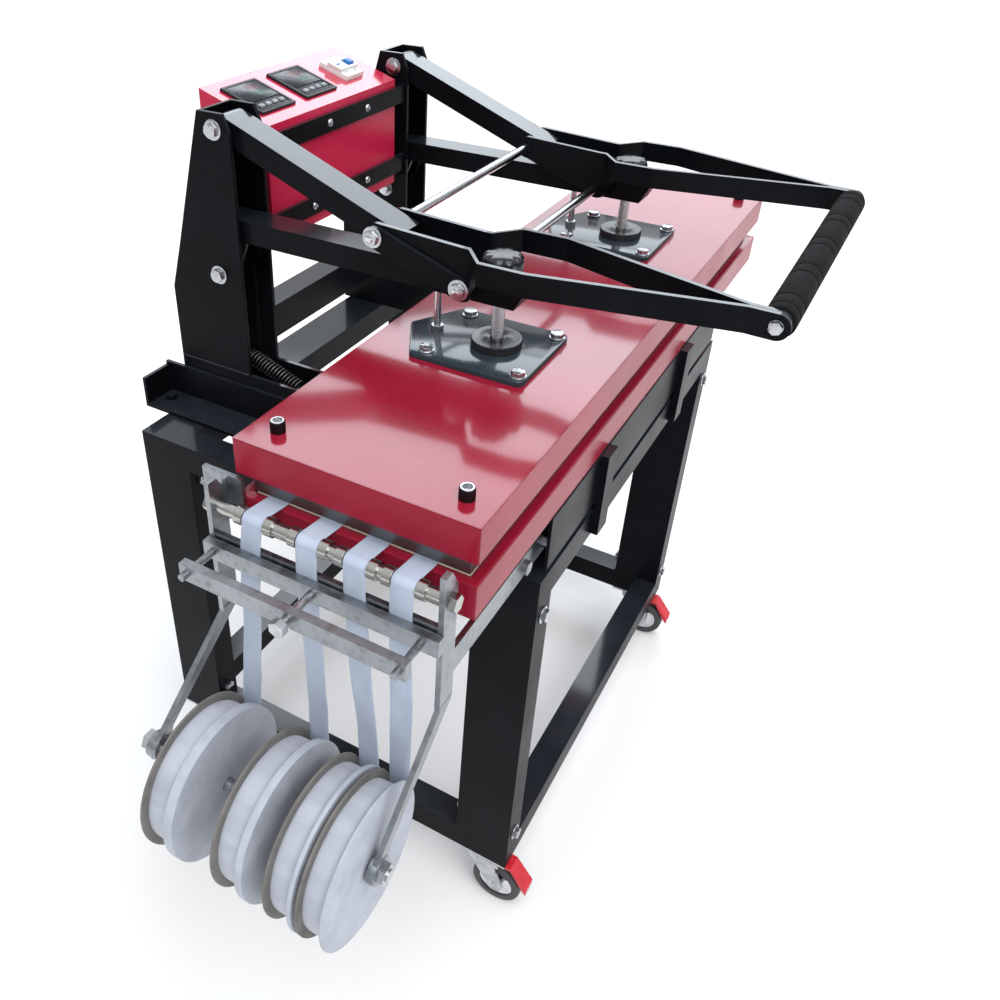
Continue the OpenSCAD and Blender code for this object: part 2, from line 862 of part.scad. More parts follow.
module bar_side_outline() {
  polygon([
    knee + [0, knee_boss_r], [arm_pin[0], top_z + bar_top_h], [bulge_end_y, top_z + bar_top_h],
    handle_axis + [0, bar_end_r], handle_axis + [0, -bar_end_r], [bulge_end_y, top_z + bar_bottom_h],
    [bulge_start_y, top_z + bar_bottom_h], arm_pin + [-pin_boss_r, 0], arm_pin + [0, -pin_boss_r],
    knee + [0, -knee_boss_r]
  ]);
  translate(knee) circle(r = knee_boss_r);
  translate(arm_pin) circle(r = pin_boss_r);
  translate(handle_axis) circle(r = bar_end_r);
}

knee_vec = arm_pin - knee;
knee_angle = atan2(knee_vec[1], knee_vec[0]);

module doubler() {
  translate([0, knee[0], knee[1]]) rotate([knee_angle, 0, 0]) translate([-bar_inner - bar_plate - doubler_t, 0, 0])
    rotate([90, 0, 90]) linear_extrude(doubler_t + soft_gap) {
      translate([0, -doubler_w / 2]) square([norm(knee_vec), doubler_w]);
      circle(r = doubler_w / 2);
      translate([norm(knee_vec), 0]) circle(r = doubler_w / 2);
    }
}

module lever_bars() {
  reach = 2 * bulge_inner;
  color("#1c1d20") both_units() difference() {
    union() {
      for (s = [-1, 1]) intersection() {
        translate([0, 0, top_z]) linear_extrude(2 * bar_top_h) bar_plan(s);
        side(-reach, reach) bar_side_outline();
      }
      doubler();
    }
    bar_x(knee, shaft_r + fit, -reach, reach);
    bar_x(arm_pin, shaft_r + fit, -reach, reach);
    bar_x(handle_axis, handle_rod_r + fit, -reach, reach);
  }
}

// Bright shafts that join both units at the knee and at the arm
module cross_shafts() {
  face = unit_x + bar_inner + bar_plate + doubler_t;
  color("#d3d5d8") for (p = [knee, arm_pin]) {
    bar_x(p, shaft_r, -face - nut_h - over, face + nut_h + over);
    hex_x(p, nut_r, -face - nut_h, -face);
    hex_x(p, nut_r, face, face + nut_h);
  }
}

module handle_rod() {
  x = unit_x - bar_end_shift + bar_plate + 2 * soft_gap;
  color("#b9bcc0") {
    bar_x(handle_axis, handle_rod_r, -x, x);
    hex_x(handle_axis, handle_rod_r + over, -x - nut_h, -x);
    hex_x(handle_axis, handle_rod_r + over, x, x + nut_h);
  }
}

module foam_grip() {
  l = grip_l;
  n = floor(l / groove_pitch / 2) - 1;
  color("#1a1a1b") translate([-l / 2, handle_axis[0], handle_axis[1]]) rotate([0, 90, 0]) difference() {
    cylinder(d = grip_dia, h = l);
    translate([0, 0, -over]) cylinder(r = handle_rod_r + fit, h = l + 2 * over);
    for (k = [-n : n], g = [0, groove_pair]) translate([0, 0, l / 2 + k * groove_pitch + g]) difference() {
      cylinder(d = grip_dia + 2 * over, h = groove_w);
      translate([0, 0, -over]) cylinder(d = grip_dia - 2 * groove_depth, h = groove_w + 2 * over);
    }
  }
}

// Springs, each one unbroken wire: a hook round the tail pin, the curls, a hook round the front post
spring_a = [tail_y, top_z + tail_z];
spring_b = [spring_front_y, top_z + spring_front_z];
spring_vec = spring_b - spring_a;
spring_l = norm(spring_vec);
hook_a_r = spring_pin_r + spring_wire / 2 + soft_gap;
hook_b_r = post_r + spring_wire / 2 + soft_gap;
coil_start = hook_a_r + hook_gap;
coil_l = spring_l - coil_start - hook_b_r - hook_gap;
spring_steps = 8;
spring_count = spring_turns * spring_steps;
function hook_dir(a) = [0, sin(a), -cos(a)];
function coil_dir(k) = [cos(90 + 360 * k / spring_steps), sin(90 + 360 * k / spring_steps), 0];
function up(z) = [0, 0, z];
spring_dirs = concat(
  [for (a = [-150 : 30 : 90]) hook_dir(a)],
  [for (k = [0 : spring_count]) coil_dir(k)],
  [for (a = [90 : 30 : 330]) hook_dir(a)]
);
spring_path = concat(
  [for (a = [-150 : 30 : 90]) hook_a_r * hook_dir(a)],
  [for (k = [0 : spring_count]) spring_r * coil_dir(k) + up(coil_start + coil_l * k / spring_count)],
  [for (a = [90 : 30 : 330]) hook_b_r * hook_dir(a) + up(spring_l)]
);
function spring_ring(k) = let (
    n = len(spring_path) - 1,
    d = spring_path[min(k + 1, n)] - spring_path[max(k - 1, 0)],
    t = d / norm(d),
    o = spring_dirs[k] - (spring_dirs[k] * t) * t,
    u = o / norm(o),
    v = cross(t, u)
  ) [for (j = [0 : 5]) spring_path[k] + spring_wire / 2 * (cos(60 * j) * u + sin(60 * j) * v)];
spring_gap = coil_l / spring_turns - spring_wire;
echo(spring_least_gap = spring_gap);
echo(winding_gap = turn_gap);

module spring_wire_solid() {
  n = len(spring_path) - 1;
  points = [for (k = [0 : n]) each spring_ring(k)];
  sides = [for (k = [0 : n - 1], j = [0 : 5], h = [0, 1]) let (
      a = 6 * k + j, b = 6 * k + (j + 1) % 6
    ) h == 0 ? [a, a + 6, b] : [b, a + 6, b + 6]];
  start_cap = [for (j = [1 : 4]) [0, j, j + 1]];
  end_cap = [for (j = [1 : 4]) [6 * n, 6 * n + j + 1, 6 * n + j]];
  polyhedron(points = points, faces = concat(sides, start_cap, end_cap));
}

module return_springs() {
  color("#8d9095") both_units() translate([0, spring_a[0], spring_a[1]])
    rotate([90 - atan2(spring_vec[1], -spring_vec[0]), 0, 0]) spring_wire_solid();
}

// Platen
module upper_cover() {
  color("#c01a33") difference() {
    block(-platen_l / 2, platen_l / 2, -platen_d / 2, platen_d / 2, cover_z, top_z);
    block(-platen_l / 2 + cover_wall, platen_l / 2 - cover_wall, -platen_d / 2 + cover_wall,
      platen_d / 2 - cover_wall, cover_z - over, top_z - cover_wall);
    at_cap_screws() cylinder(r = cap_shank_r + fit, h = 4 * cover_wall, center = true);
    at_plate_bolts() cylinder(r = bolt_r + fit, h = 4 * cover_wall, center = true);
  }
}

module at_cap_screws() {
  for (x = [-cap_screw_x, cap_screw_x], y = [-cap_screw_y, cap_screw_y]) translate([x, y, top_z]) children();
}

module at_plate_bolts() {
  for (u = [-unit_x, unit_x], x = [-mount_bolt, mount_bolt], y = mount_bolt_ys)
    translate([u + x, y, top_z]) children();
}

module heating_plate() {
  color("#b6b7b9") block(-heat_l / 2, heat_l / 2, -heat_d / 2, heat_d / 2, heat_z, heat_z + heat_t);
}

module head_bolts() {
  drop = top_z - heat_z - heat_t;
  color("#2b2c2e") at_cap_screws() {
    difference() {
      cylinder(r = cap_r, h = cap_h);
      translate([0, 0, cap_h - cap_socket_h]) cylinder(r = cap_socket_r, h = cap_socket_h + over, $fn = 6);
    }
    translate([0, 0, -drop]) cylinder(r = cap_shank_r, h = drop + over);
  }
  color("#c4c7ca") at_plate_bolts() {
    translate([0, 0, mount_t]) cylinder(r = bolt_head_r, h = bolt_head_h, $fn = 6);
    translate([0, 0, -drop]) cylinder(r = bolt_r, h = drop + mount_t + over);
  }
}

module mounting_plates() {
  w = mount_w / 2;
  color("#26282b") difference() {
    both_units() translate([0, 0, top_z]) linear_extrude(mount_t) polygon([
      [-w, mount_front], [w, mount_front], [w, mount_back], [0, mount_apex], [-w, mount_back]
    ]);
    at_plate_bolts() cylinder(r = bolt_r + fit, h = 4 * mount_t, center = true);
  }
}

// Threaded spindles with their knurled collars, and the guide rods with their nuts
module spindles() {
  base = top_z + mount_t;
  color("#c4c7ca") both_units() {
    translate([0, spindle_y, base]) cylinder(r = spindle_r, h = arm_top + knob_h - base - over);
    translate([0, spindle_y, base]) difference() {
      cylinder(r = collar_r, h = collar_h);
      for (k = [0 : 17]) rotate(k * 20) translate([collar_r, 0, -over]) cylinder(r = over, h = collar_h + 2 * over);
    }
    translate([0, guide_y, base]) cylinder(r = guide_r, h = arm_top + over - base);
    translate([0, guide_y, base]) cylinder(r = guide_nut_r, h = guide_nut_h, $fn = 6);
  }
}

// Scalloped knob that turns on the spindle and bears on the arm
module pressure_knob(x) {
  color("#1a1a1b") translate([x, spindle_y, arm_top + soft_gap]) difference() {
    cylinder(r = knob_r, h = knob_h - soft_gap);
    for (k = [0 : knob_lobes - 1]) rotate(k * 360 / knob_lobes) translate([knob_r + knob_bite_r / 2, 0, -over])
      cylinder(r = knob_bite_r, h = knob_h + 2 * over);
    translate([0, 0, -over]) cylinder(r = spindle_r + fit, h = knob_h + 2 * over);
  }
}

// Galvanized side plates: upright, slanted leg to the reel axle
axle_front = feed_front_y + front_leg_in;
axle_back = feed_back_y + back_leg_out;
leg_top = top_z - feed_top_h;
leg_knee = [feed_x + feed_w / 2, top_z - leg_knee_z];
axle_at = [reel_x, top_z - reel_z];

module upright_outline() {
  polygon([
    [feed_x, leg_knee[1]], [feed_x + feed_w, leg_knee[1]], [feed_x + feed_w, roller_z + feed_w / 2],
    [feed_x + feed_w / 2, leg_top - feed_w / 2], [feed_x, leg_top - feed_w / 2]
  ]);
}

module in_xz(y0, y1) {
  translate([0, y1, 0]) rotate([90, 0, 0]) linear_extrude(y1 - y0) children();
}

// Slanted leg that leans sideways by lean over its height
module leg(y0, lean) {
  drop = leg_knee[1] - axle_at[1];
  tilt = atan2(lean, drop);
  run = leg_knee[0] - axle_at[0];
  stretch = drop / cos(tilt);
  half = feed_w / 2 - over;
  foot = feed_w / 2 + leg_extra / 2;
  translate([0, y0, leg_knee[1]]) rotate([tilt, 0, 0]) rotate([90, 0, 0]) linear_extrude(feed_t) difference() {
    union() {
      polygon([
        [leg_knee[0] - half, leg_lap], [leg_knee[0] + half, leg_lap], [leg_knee[0] + half, -leg_lap],
        [axle_at[0] + foot, -stretch + run / 4], [axle_at[0] + foot, -stretch],
        [axle_at[0] - foot, -stretch], [leg_knee[0] - half, -leg_lap]
      ]);
      translate([axle_at[0], -stretch]) circle(r = foot);
    }
    translate([axle_at[0], -stretch]) circle(r = axle_r + feed_t * sin(tilt) + over);
  }
}

// Flat seat for the hub nuts at the foot of a leg
module leg_boss(y0, y1, out) {
  difference() {
    bar_y(axle_at, leg_boss_r, y0 - out, y1 + out);
    bar_y(axle_at, axle_r + fit, y0 - 2 * out, y1 + 2 * out);
  }
}

module feed_plate_front() {
  arm_z = top_z - feed_arm_drop;
  color("#9fa3a8") {
    difference() {
      union() {
        in_xz(feed_front_y - feed_t, feed_front_y) upright_outline();
        in_xz(feed_front_y - feed_t, feed_front_y) translate([feed_x + feed_w / 2, arm_z - feed_arm_h])
          square([feed_arm_end - feed_x - feed_w / 2, feed_arm_h]);
      }
      bar_y([roller_x, roller_z], screw_r + fit, feed_front_y - 2 * feed_t, feed_front_y + feed_t);
    }
    leg(feed_front_y, front_leg_in);
    leg_boss(axle_front - feed_t, axle_front, boss_out);
    hex_y([strip_bolt_xs[0], arm_z - feed_arm_h / 2], bolt_head_r, feed_front_y - feed_t - bolt_head_h,
      feed_front_y - feed_t / 2);
    bar_y([strip_bolt_xs[1], arm_z - feed_arm_h / 2], bolt_head_r, stand_front + rail_t, feed_front_y - feed_t / 2);
  }
}

module feed_plate_back() {
  color("#9fa3a8") {
    difference() {
      in_xz(feed_back_y, feed_back_y + feed_t) upright_outline();
      bar_y([roller_x, roller_z], screw_r + fit, feed_back_y - feed_t, feed_back_y + 2 * feed_t);
    }
    leg(feed_back_y + feed_t, back_leg_out);
    leg_boss(axle_back, axle_back + feed_t, boss_back_out);
    block(feed_x + feed_w - over, -platen_l / 2, feed_back_y, feed_back_y + feed_t,
      top_z - flange_low, top_z - flange_high);
    block(-platen_l / 2 - feed_t, -platen_l / 2, flange_front, flange_back, top_z - flange_low, top_z - flange_high);
  }
}

// Roller shaft, necked through the plates, with its stop collars and end nuts
module roller_shaft() {
  p = [roller_x, roller_z];
  color("#c8cacd") {
    bar_y(p, roller_r, feed_front_y, feed_back_y);
    bar_y(p, screw_r, feed_front_y - feed_t - nut_h, feed_front_y + over);
    bar_y(p, screw_r, feed_back_y - over, feed_back_y + feed_t + nut_h);
    hex_y(p, nut_r, feed_front_y - feed_t - nut_h, feed_front_y - feed_t);
    hex_y(p, nut_r, feed_back_y + feed_t, feed_back_y + feed_t + nut_h);
    for (y = tape_ys, s = [-1, 1]) {
      c = y + s * (tape_w / 2 + collar_ring_w / 2 + 2 * soft_gap);
      bar_y(p, collar_ring_r, c - collar_ring_w / 2, c + collar_ring_w / 2);
    }
  }
}

// Brake frame: back strip between the plates, two rods and the threaded front bar
strip_x = feed_x + tape_t + 2 * soft_gap;
rod_z = top_z - clamp_drop - clamp_h / 2;

module tape_brake_frame() {
  color("#a9adb1") {
    block(strip_x, strip_x + strip_t, feed_front_y, feed_back_y, top_z - strip_drop - strip_h, top_z - strip_drop);
    for (y = [rod_back_y, rod_front_y]) translate([front_bar_x - 2 * rod_r, y, rod_z]) rotate([0, 90, 0])
      cylinder(r = rod_r, h = strip_x - front_bar_x + 2 * rod_r);
    difference() {
      block(front_bar_x, front_bar_x + front_bar_t, feed_front_y + rod_r, feed_back_y + rod_r,
        rod_z - clamp_h / 2, rod_z + clamp_h / 2);
      translate([front_bar_x - over, screw_y, rod_z]) rotate([0, 90, 0])
        cylinder(r = screw_r + fit, h = front_bar_t + 2 * over);
      for (y = [rod_back_y, rod_front_y]) translate([front_bar_x - over, y, rod_z]) rotate([0, 90, 0])
        cylinder(r = rod_r, h = front_bar_t + 2 * over);
    }
  }
}

// Clamp bar that slides on the rods
module clamp_bar() {
  x1 = feed_x - soft_gap;
  color("#a9adb1") difference() {
    block(x1 - clamp_t, x1, feed_front_y - clamp_reach, feed_back_y + clamp_reach,
      rod_z - clamp_h / 2, rod_z + clamp_h / 2);
    for (y = [rod_back_y, rod_front_y]) translate([x1 - clamp_t - over, y, rod_z]) rotate([0, 90, 0])
      cylinder(r = rod_r + fit, h = clamp_t + 2 * over);
  }
}

module clamp_screw() {
  x1 = feed_x - soft_gap - clamp_t - soft_gap;
  x0 = front_bar_x - 2 * rod_r;
  color("#c4c7ca") translate([x0, screw_y, rod_z]) rotate([0, 90, 0]) {
    cylinder(r = screw_r, h = x1 - x0);
    translate([0, 0, -screw_head_h]) cylinder(r = screw_head_r, h = screw_head_h, $fn = 6);
  }
}

// Axle of the reels with its hub nuts and end bolts
module reel_axle() {
  y0 = axle_front - feed_t - boss_out;
  y1 = axle_back + feed_t + boss_back_out;
  color("#8f9398") {
    bar_y(axle_at, axle_r, y0 - hub_nut_h, y1 + hub_nut_h + over);
    hex_y(axle_at, hub_nut_r, y0 - nut_h, y0);
    hex_y(axle_at, hub_nut_r, y1, y1 + hub_nut_h);
    hex_y(axle_at, hub_nut_r, axle_back - boss_back_out - nut_h, axle_back - boss_back_out);
  }
}

// Reel: card flange, core with one outer turn of tape, pale disc
winding_r = winding_dia / 2;
turn_steps = 48;
turn_gap = 0.5;
function turn_r(k) = winding_r - 2 * tape_t - turn_gap + (tape_t + turn_gap) * k / turn_steps;
function turn_point(k, r) = r * [cos(360 * k / turn_steps), sin(360 * k / turn_steps)];

module outer_turn() {
  inner = [for (k = [0 : turn_steps]) turn_point(k, turn_r(k))];
  outer = [for (k = [turn_steps : -1 : 0]) turn_point(k, turn_r(k) + tape_t)];
  polygon(concat(inner, outer));
}

module reel(i) {
  left = reel_left_ys[i - 1];
  w = reel_winding_ws[i - 1];
  core_r = winding_r - 2 * tape_t - 2 * turn_gap;
  color("#efeff2") {
    ring(left - flange_t, left, reel_dia / 2);
    ring(left - flange_t - w, left - flange_t, core_r);
    translate([axle_at[0], left - flange_t, axle_at[1]]) rotate([90, 0, 0]) linear_extrude(w) outer_turn();
    ring(left - flange_t - w - reel_disc_ts[i - 1], left - flange_t - w, reel_dia / 2);
  }
}

// Disc about the reel axle with a running bore
module ring(y0, y1, r) {
  difference() {
    bar_y(axle_at, r, y0, y1);
    bar_y(axle_at, axle_r + fit, y0 - over, y1 + over);
  }
}

// Tapes: one ribbon each, over the bed, round the roller, through the brake and down to its reel
tape_run_end = 480;
tape_lift_x = -505;
wrap_r = roller_r + soft_gap + tape_t / 2;
tape_mid_z = bed_z + soft_gap + tape_t / 2;
brake_x = feed_x + soft_gap + tape_t / 2;
drop_x = axle_at[0] + winding_r + soft_gap + tape_t;
wrap_start = 96;
wrap_end = 184;
wrap_steps = 10;
tape_set_z = axle_at[1] + reel_dia / 4;
function wrap_point(a) = [roller_x + wrap_r * cos(a), roller_z + wrap_r * sin(a)];
function tape_path() = concat(
  [[tape_run_end, tape_mid_z], [tape_lift_x, tape_mid_z]],
  [for (k = [0 : wrap_steps]) wrap_point(wrap_start + (wrap_end - wrap_start) * k / wrap_steps)],
  [[brake_x, top_z - strip_drop], [brake_x, top_z - strip_drop - strip_h]],
  [[drop_x, tape_set_z], [drop_x, axle_at[1]]]
);
function reel_mid(i) = reel_left_ys[i] - flange_t - reel_winding_ws[i] / 2;

module tape(i) {
  p = tape_path();
  n = len(p);
  d = [for (k = [0 : n - 1]) let (v = p[min(k + 1, n - 1)] - p[max(k - 1, 0)]) v / norm(v)];
  y = [for (k = [0 : n - 1]) tape_ys[i] + (reel_mid(i) - tape_ys[i])
    * min(1, max(0, roller_z - p[k][1]) / (roller_z - tape_set_z))];
  points = [for (k = [0 : n - 1]) let (m = [d[k][1], 0, -d[k][0]] * tape_t / 2) each [
    [p[k][0], y[k] - tape_w / 2, p[k][1]] + m, [p[k][0], y[k] + tape_w / 2, p[k][1]] + m,
    [p[k][0], y[k] + tape_w / 2, p[k][1]] - m, [p[k][0], y[k] - tape_w / 2, p[k][1]] - m
  ]];
  walls = [for (k = [0 : n - 2], j = [0 : 3], h = [0, 1]) let (
      a = 4 * k + j, b = 4 * k + (j + 1) % 4
    ) h == 0 ? [a, b, a + 4] : [b, b + 4, a + 4]];
  caps = [[0, 2, 1], [0, 3, 2], [4 * n - 4, 4 * n - 3, 4 * n - 2], [4 * n - 4, 4 * n - 2, 4 * n - 1]];
  polyhedron(points = points, faces = concat(walls, caps));
}

module lanyard_tapes() {
  color("#f2f2f5") for (i = [0 : 3]) tape(i);
}

// The frame's origin is on the floor, under the middle of the machine's overall box
centre_x = (platen_l / 2 + axle_at[0] - reel_dia / 2) / 2;
centre_y = (base_back + handle_axis[0] - grip_dia / 2) / 2;

translate([-centre_x, -centre_y, 0]) {
  stand_side_frames();
  stand_end_frames();
  frame_bolts();
  caster_plates();
  for (i = [1 : 4]) {
    caster_fork(i);
    caster_wheel(i);
    reel(i);
  }
  for (i = [1 : 2]) {
    caster_pedal(i);
  }
  for (i = [1 : 8]) {
    key(i);
  }
  base_channels();
  front_rail();
  cross_tubes();
  lower_tray();
  bed_board();
  silicone_pad();
  columns();
  control_box();
  control_bars();
  panel_instruments();
  breaker_toggle();
  pivot_bolts();
  arms();
  links();
  lever_bars();
  cross_shafts();
  handle_rod();
  foam_grip();
  return_springs();
  upper_cover();
  heating_plate();
  head_bolts();
  mounting_plates();
  spindles();
  pressure_knob(-unit_x);  // pressure_knob_near
  pressure_knob(unit_x);  // pressure_knob_far
  feed_plate_front();
  feed_plate_back();
  roller_shaft();
  tape_brake_frame();
  clamp_bar();
  clamp_screw();
  reel_axle();
  lanyard_tapes();
}
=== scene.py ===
import math
import random
import bmesh
import bpy
from mathutils import Matrix, Vector


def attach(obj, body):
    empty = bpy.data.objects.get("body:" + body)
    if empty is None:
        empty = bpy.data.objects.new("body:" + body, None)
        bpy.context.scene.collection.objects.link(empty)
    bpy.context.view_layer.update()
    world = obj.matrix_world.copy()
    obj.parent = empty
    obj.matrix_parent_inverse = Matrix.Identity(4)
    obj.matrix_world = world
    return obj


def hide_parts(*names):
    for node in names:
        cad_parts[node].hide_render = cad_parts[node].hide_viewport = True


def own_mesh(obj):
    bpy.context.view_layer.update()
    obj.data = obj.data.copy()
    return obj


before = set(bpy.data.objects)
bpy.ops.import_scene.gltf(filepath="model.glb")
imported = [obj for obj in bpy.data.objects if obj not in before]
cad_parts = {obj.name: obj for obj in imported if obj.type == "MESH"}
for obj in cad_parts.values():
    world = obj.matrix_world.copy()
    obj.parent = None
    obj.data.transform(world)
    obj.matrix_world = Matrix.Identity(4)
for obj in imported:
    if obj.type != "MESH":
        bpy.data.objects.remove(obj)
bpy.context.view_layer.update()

# All measures below are in mm about the middle of the platen, as in the CAD. P() gives the shared frame.
SHIFT = Vector((0.1044, -0.09275, 0.0))
TOP = 825.0                               # the upper cover's top
BED = 756.4                               # the silicone pad's top
HEADS = ((-206, "near"), (206, "far"))    # middle of each press head along X
SIDES = (-1, 1)

# Axes along X, as (y, height over TOP)
PIVOTS = ((369.3, 203.3), (382.1, 16.7))
KNEE = (143.6, 118.1)
ARM_PIN = (32.0, 80.0)
HANDLE = (-294.5, 109)

# Pieces that stand on a mounting plate, from the middle of its head
PLATE_TOP = TOP + 6.5
PLATE_BOLTS = [(x, y) for x in (-54.5, 54.5) for y in (-54.5, 60)]
SPINDLE_Y = -2
GUIDE_Y = 76

# The stand's bolts run along Y through its front and rear tubes
FRAME_BOLTS = [(x, z) for x in (-325, 325) for z in (157, 572)]
STAND_FRONT, STAND_BACK = -139, 456
WASHER = 1.6


def P(x, y, z):
    """A point in metres in the shared frame."""
    return Vector((x, y, z)) / 1000 + SHIFT


# Sockets that have no name of their own: a map range's from and to values, a colour mix's inputs and output
RAMP_RANGE = (1, 2, 3, 4)
MIX_FACTOR, MIX_A, MIX_B, MIXED = 0, 6, 7, 2


# Camera and stage
def set_camera():
    data = bpy.data.cameras.new("camera")
    cam = bpy.data.objects.new("camera", data)
    bpy.context.scene.collection.objects.link(cam)
    data.sensor_width = 36
    data.lens = 33.81
    data.shift_x = 0.107
    data.shift_y = -0.051
    data.clip_end = 50
    ahead = Vector((0.712, 0.428, -0.556)).normalized()
    right = Vector((0.519, -0.855, 0.007))
    right = (right - ahead * right.dot(ahead)).normalized()
    up = right.cross(ahead)
    turn = Matrix((right, up, -ahead)).transposed().to_4x4()
    turn.translation = Vector((-1.0981, -0.4002, 1.3342)) + SHIFT
    cam.matrix_world = turn
    bpy.context.scene.camera = cam


def area_light(name, at, to, size, power, colour):
    data = bpy.data.lights.new(name, "AREA")
    data.shape = "RECTANGLE"
    data.size, data.size_y = size
    data.energy = power
    data.color = colour
    o = bpy.data.objects.new(name, data)
    o.location = at
    o.rotation_euler = (Vector(to) - Vector(at)).to_track_quat("-Z", "Y").to_euler()
    bpy.context.scene.collection.objects.link(o)


def set_world(scene):
    """Pale surroundings, dim near the horizon and brighter overhead."""
    world = bpy.data.worlds.new("studio")
    scene.world = world
    world.use_nodes = True
    tree = world.node_tree
    background = tree.nodes["Background"]
    background.inputs["Color"].default_value = (0.95, 0.975, 1.0, 1)
    place = tree.nodes.new("ShaderNodeTexCoord")
    split = tree.nodes.new("ShaderNodeSeparateXYZ")
    ramp = tree.nodes.new("ShaderNodeMapRange")
    for k, v in zip(RAMP_RANGE, (0.05, 0.75, 0.4, 0.95)):
        ramp.inputs[k].default_value = v
    tree.links.new(place.outputs["Generated"], split.inputs[0])
    tree.links.new(split.outputs["Z"], ramp.inputs[0])
    tree.links.new(ramp.outputs[0], background.inputs["Strength"])


def set_lights(scene):
    """A wide soft sky, two softboxes that the level faces mirror towards the camera, and a key light."""
    sky = bpy.data.lights.new("sky", "SUN")
    sky.energy = 1.7
    sky.angle = math.radians(55)
    o = bpy.data.objects.new("sky", sky)
    o.rotation_euler = Vector((0.25, 0.35, -1)).to_track_quat("-Z", "Y").to_euler()
    scene.collection.objects.link(o)
    cool, white = (0.84, 0.92, 1.0), (1, 1, 1)
    cover = (0.1, 0.0, 0.82)
    area_light("window_low", (3.05, 0.65, 1.8), cover, (2.5, 0.7), 9, cool)
    area_light("window_high", (2.15, 0.8, 2.45), cover, (2.6, 1.0), 27, cool)
    area_light("key", (-1.6, -2.2, 2.9), (0.1, 0, 0.7), (1.8, 1.2), 22, white)


def set_floor(scene):
    half = 40
    mesh = bpy.data.meshes.new("floor")
    corners = [(-half, -half, 0), (half, -half, 0), (half, half, 0), (-half, half, 0)]
    mesh.from_pydata(corners, [], [(0, 1, 2, 3)])
    floor = bpy.data.objects.new("floor", mesh)
    scene.collection.objects.link(floor)
    m = bpy.data.materials.new("floor_pale")
    m.use_nodes = True
    b = m.node_tree.nodes["Principled BSDF"]
    b.inputs["Base Color"].default_value = (0.86, 0.86, 0.86, 1)
    b.inputs["Roughness"].default_value = 0.75
    b.inputs["Specular IOR Level"].default_value = 0.2
    mesh.materials.append(m)


def set_stage():
    scene = bpy.context.scene
    scene.view_settings.view_transform = "Standard"
    scene.view_settings.look = "None"
    set_world(scene)
    set_lights(scene)
    set_floor(scene)


# Materials: two colours mixed by noise, with varied roughness, bump, rounded edges and, on paint, wear
class Shader:
    """A Principled material that is put together node by node."""

    def __init__(self, name, rough=0.5, metal=0.0, spec=0.5, sheen=0.0):
        self.m = bpy.data.materials.new(name)
        self.m.use_nodes = True
        self.t = self.m.node_tree
        self.b = self.t.nodes["Principled BSDF"]
        for k, v in (("Roughness", rough), ("Metallic", metal), ("Specular IOR Level", spec),
                     ("Coat Weight", 0.0), ("Coat Roughness", 0.1), ("Sheen Weight", sheen)):
            self.b.inputs[k].default_value = v
        self.pos = self.node("ShaderNodeTexCoord").outputs["Object"]
        self.height = None

    def node(self, kind, **values):
        n = self.t.nodes.new(kind)
        for k, v in values.items():
            if k in n.bl_rna.properties:
                setattr(n, k, v)
            else:
                n.inputs[k.replace("_", " ")].default_value = v
        return n

    def link(self, a, b):
        self.t.links.new(a, b)

    def noise(self, scale, detail=3.0, stretch=None, distortion=0.0):
        n = self.node("ShaderNodeTexNoise", Scale=scale, Detail=detail, Roughness=0.55,
                      Distortion=distortion)
        if stretch:
            m = self.node("ShaderNodeMapping")
            m.inputs["Scale"].default_value = stretch
            self.link(self.pos, m.inputs["Vector"])
            self.link(m.outputs[0], n.inputs["Vector"])
        else:
            self.link(self.pos, n.inputs["Vector"])
        return n.outputs["Fac"]

    def ramp(self, src, lo, hi, out_lo=0.0, out_hi=1.0):
        n = self.node("ShaderNodeMapRange")
        for k, v in zip(RAMP_RANGE, (lo, hi, out_lo, out_hi)):
            n.inputs[k].default_value = v
        self.link(src, n.inputs[0])
        return n.outputs[0]

    def mix(self, a, b, fac):
        n = self.node("ShaderNodeMix", data_type="RGBA")
        for i, v in ((MIX_A, a), (MIX_B, b)):
            if isinstance(v, tuple):
                n.inputs[i].default_value = (*v, 1)
            else:
                self.link(v, n.inputs[i])
        self.link(fac, n.inputs[MIX_FACTOR])
        return n.outputs[MIXED]

    def times(self, a, b):
        n = self.node("ShaderNodeMath", operation="MULTIPLY")
        for i, v in ((0, a), (1, b)):
            if isinstance(v, (int, float)):
                n.inputs[i].default_value = v
            else:
                self.link(v, n.inputs[i])
        return n.outputs[0]

    def bump(self, src, strength, distance):
        n = self.node("ShaderNodeBump", Strength=strength, Distance=distance)
        self.link(src, n.inputs["Height"])
        if self.height:
            self.link(self.height, n.inputs["Normal"])
        self.height = n.outputs[0]

    def round_edges(self, radius):
        n = self.node("ShaderNodeBevel", samples=4, Radius=radius)
        self.height = n.outputs[0]
        return n.outputs[0]

    def slope(self, side, top):
        """A value for upright faces and one for level ones that look up."""
        geo = self.node("ShaderNodeNewGeometry")
        sep = self.node("ShaderNodeSeparateXYZ")
        self.link(geo.outputs["True Normal"], sep.inputs[0])
        return self.ramp(sep.outputs["Z"], 0.3, 0.8, side, top)

    def edge_mask(self, bevel):
        """1 where the rounded normal leaves the face's own."""
        geo = self.node("ShaderNodeNewGeometry")
        d = self.node("ShaderNodeVectorMath", operation="DOT_PRODUCT")
        self.link(bevel, d.inputs[0])
        self.link(geo.outputs["Normal"], d.inputs[1])
        return self.ramp(d.outputs["Value"], 0.97, 0.80)

    def finish(self, colour, rough=None):
        self.link(colour, self.b.inputs["Base Color"])
        if rough is not None:
            self.link(rough, self.b.inputs["Roughness"])
        self.link(self.height, self.b.inputs["Normal"])
        return self.m


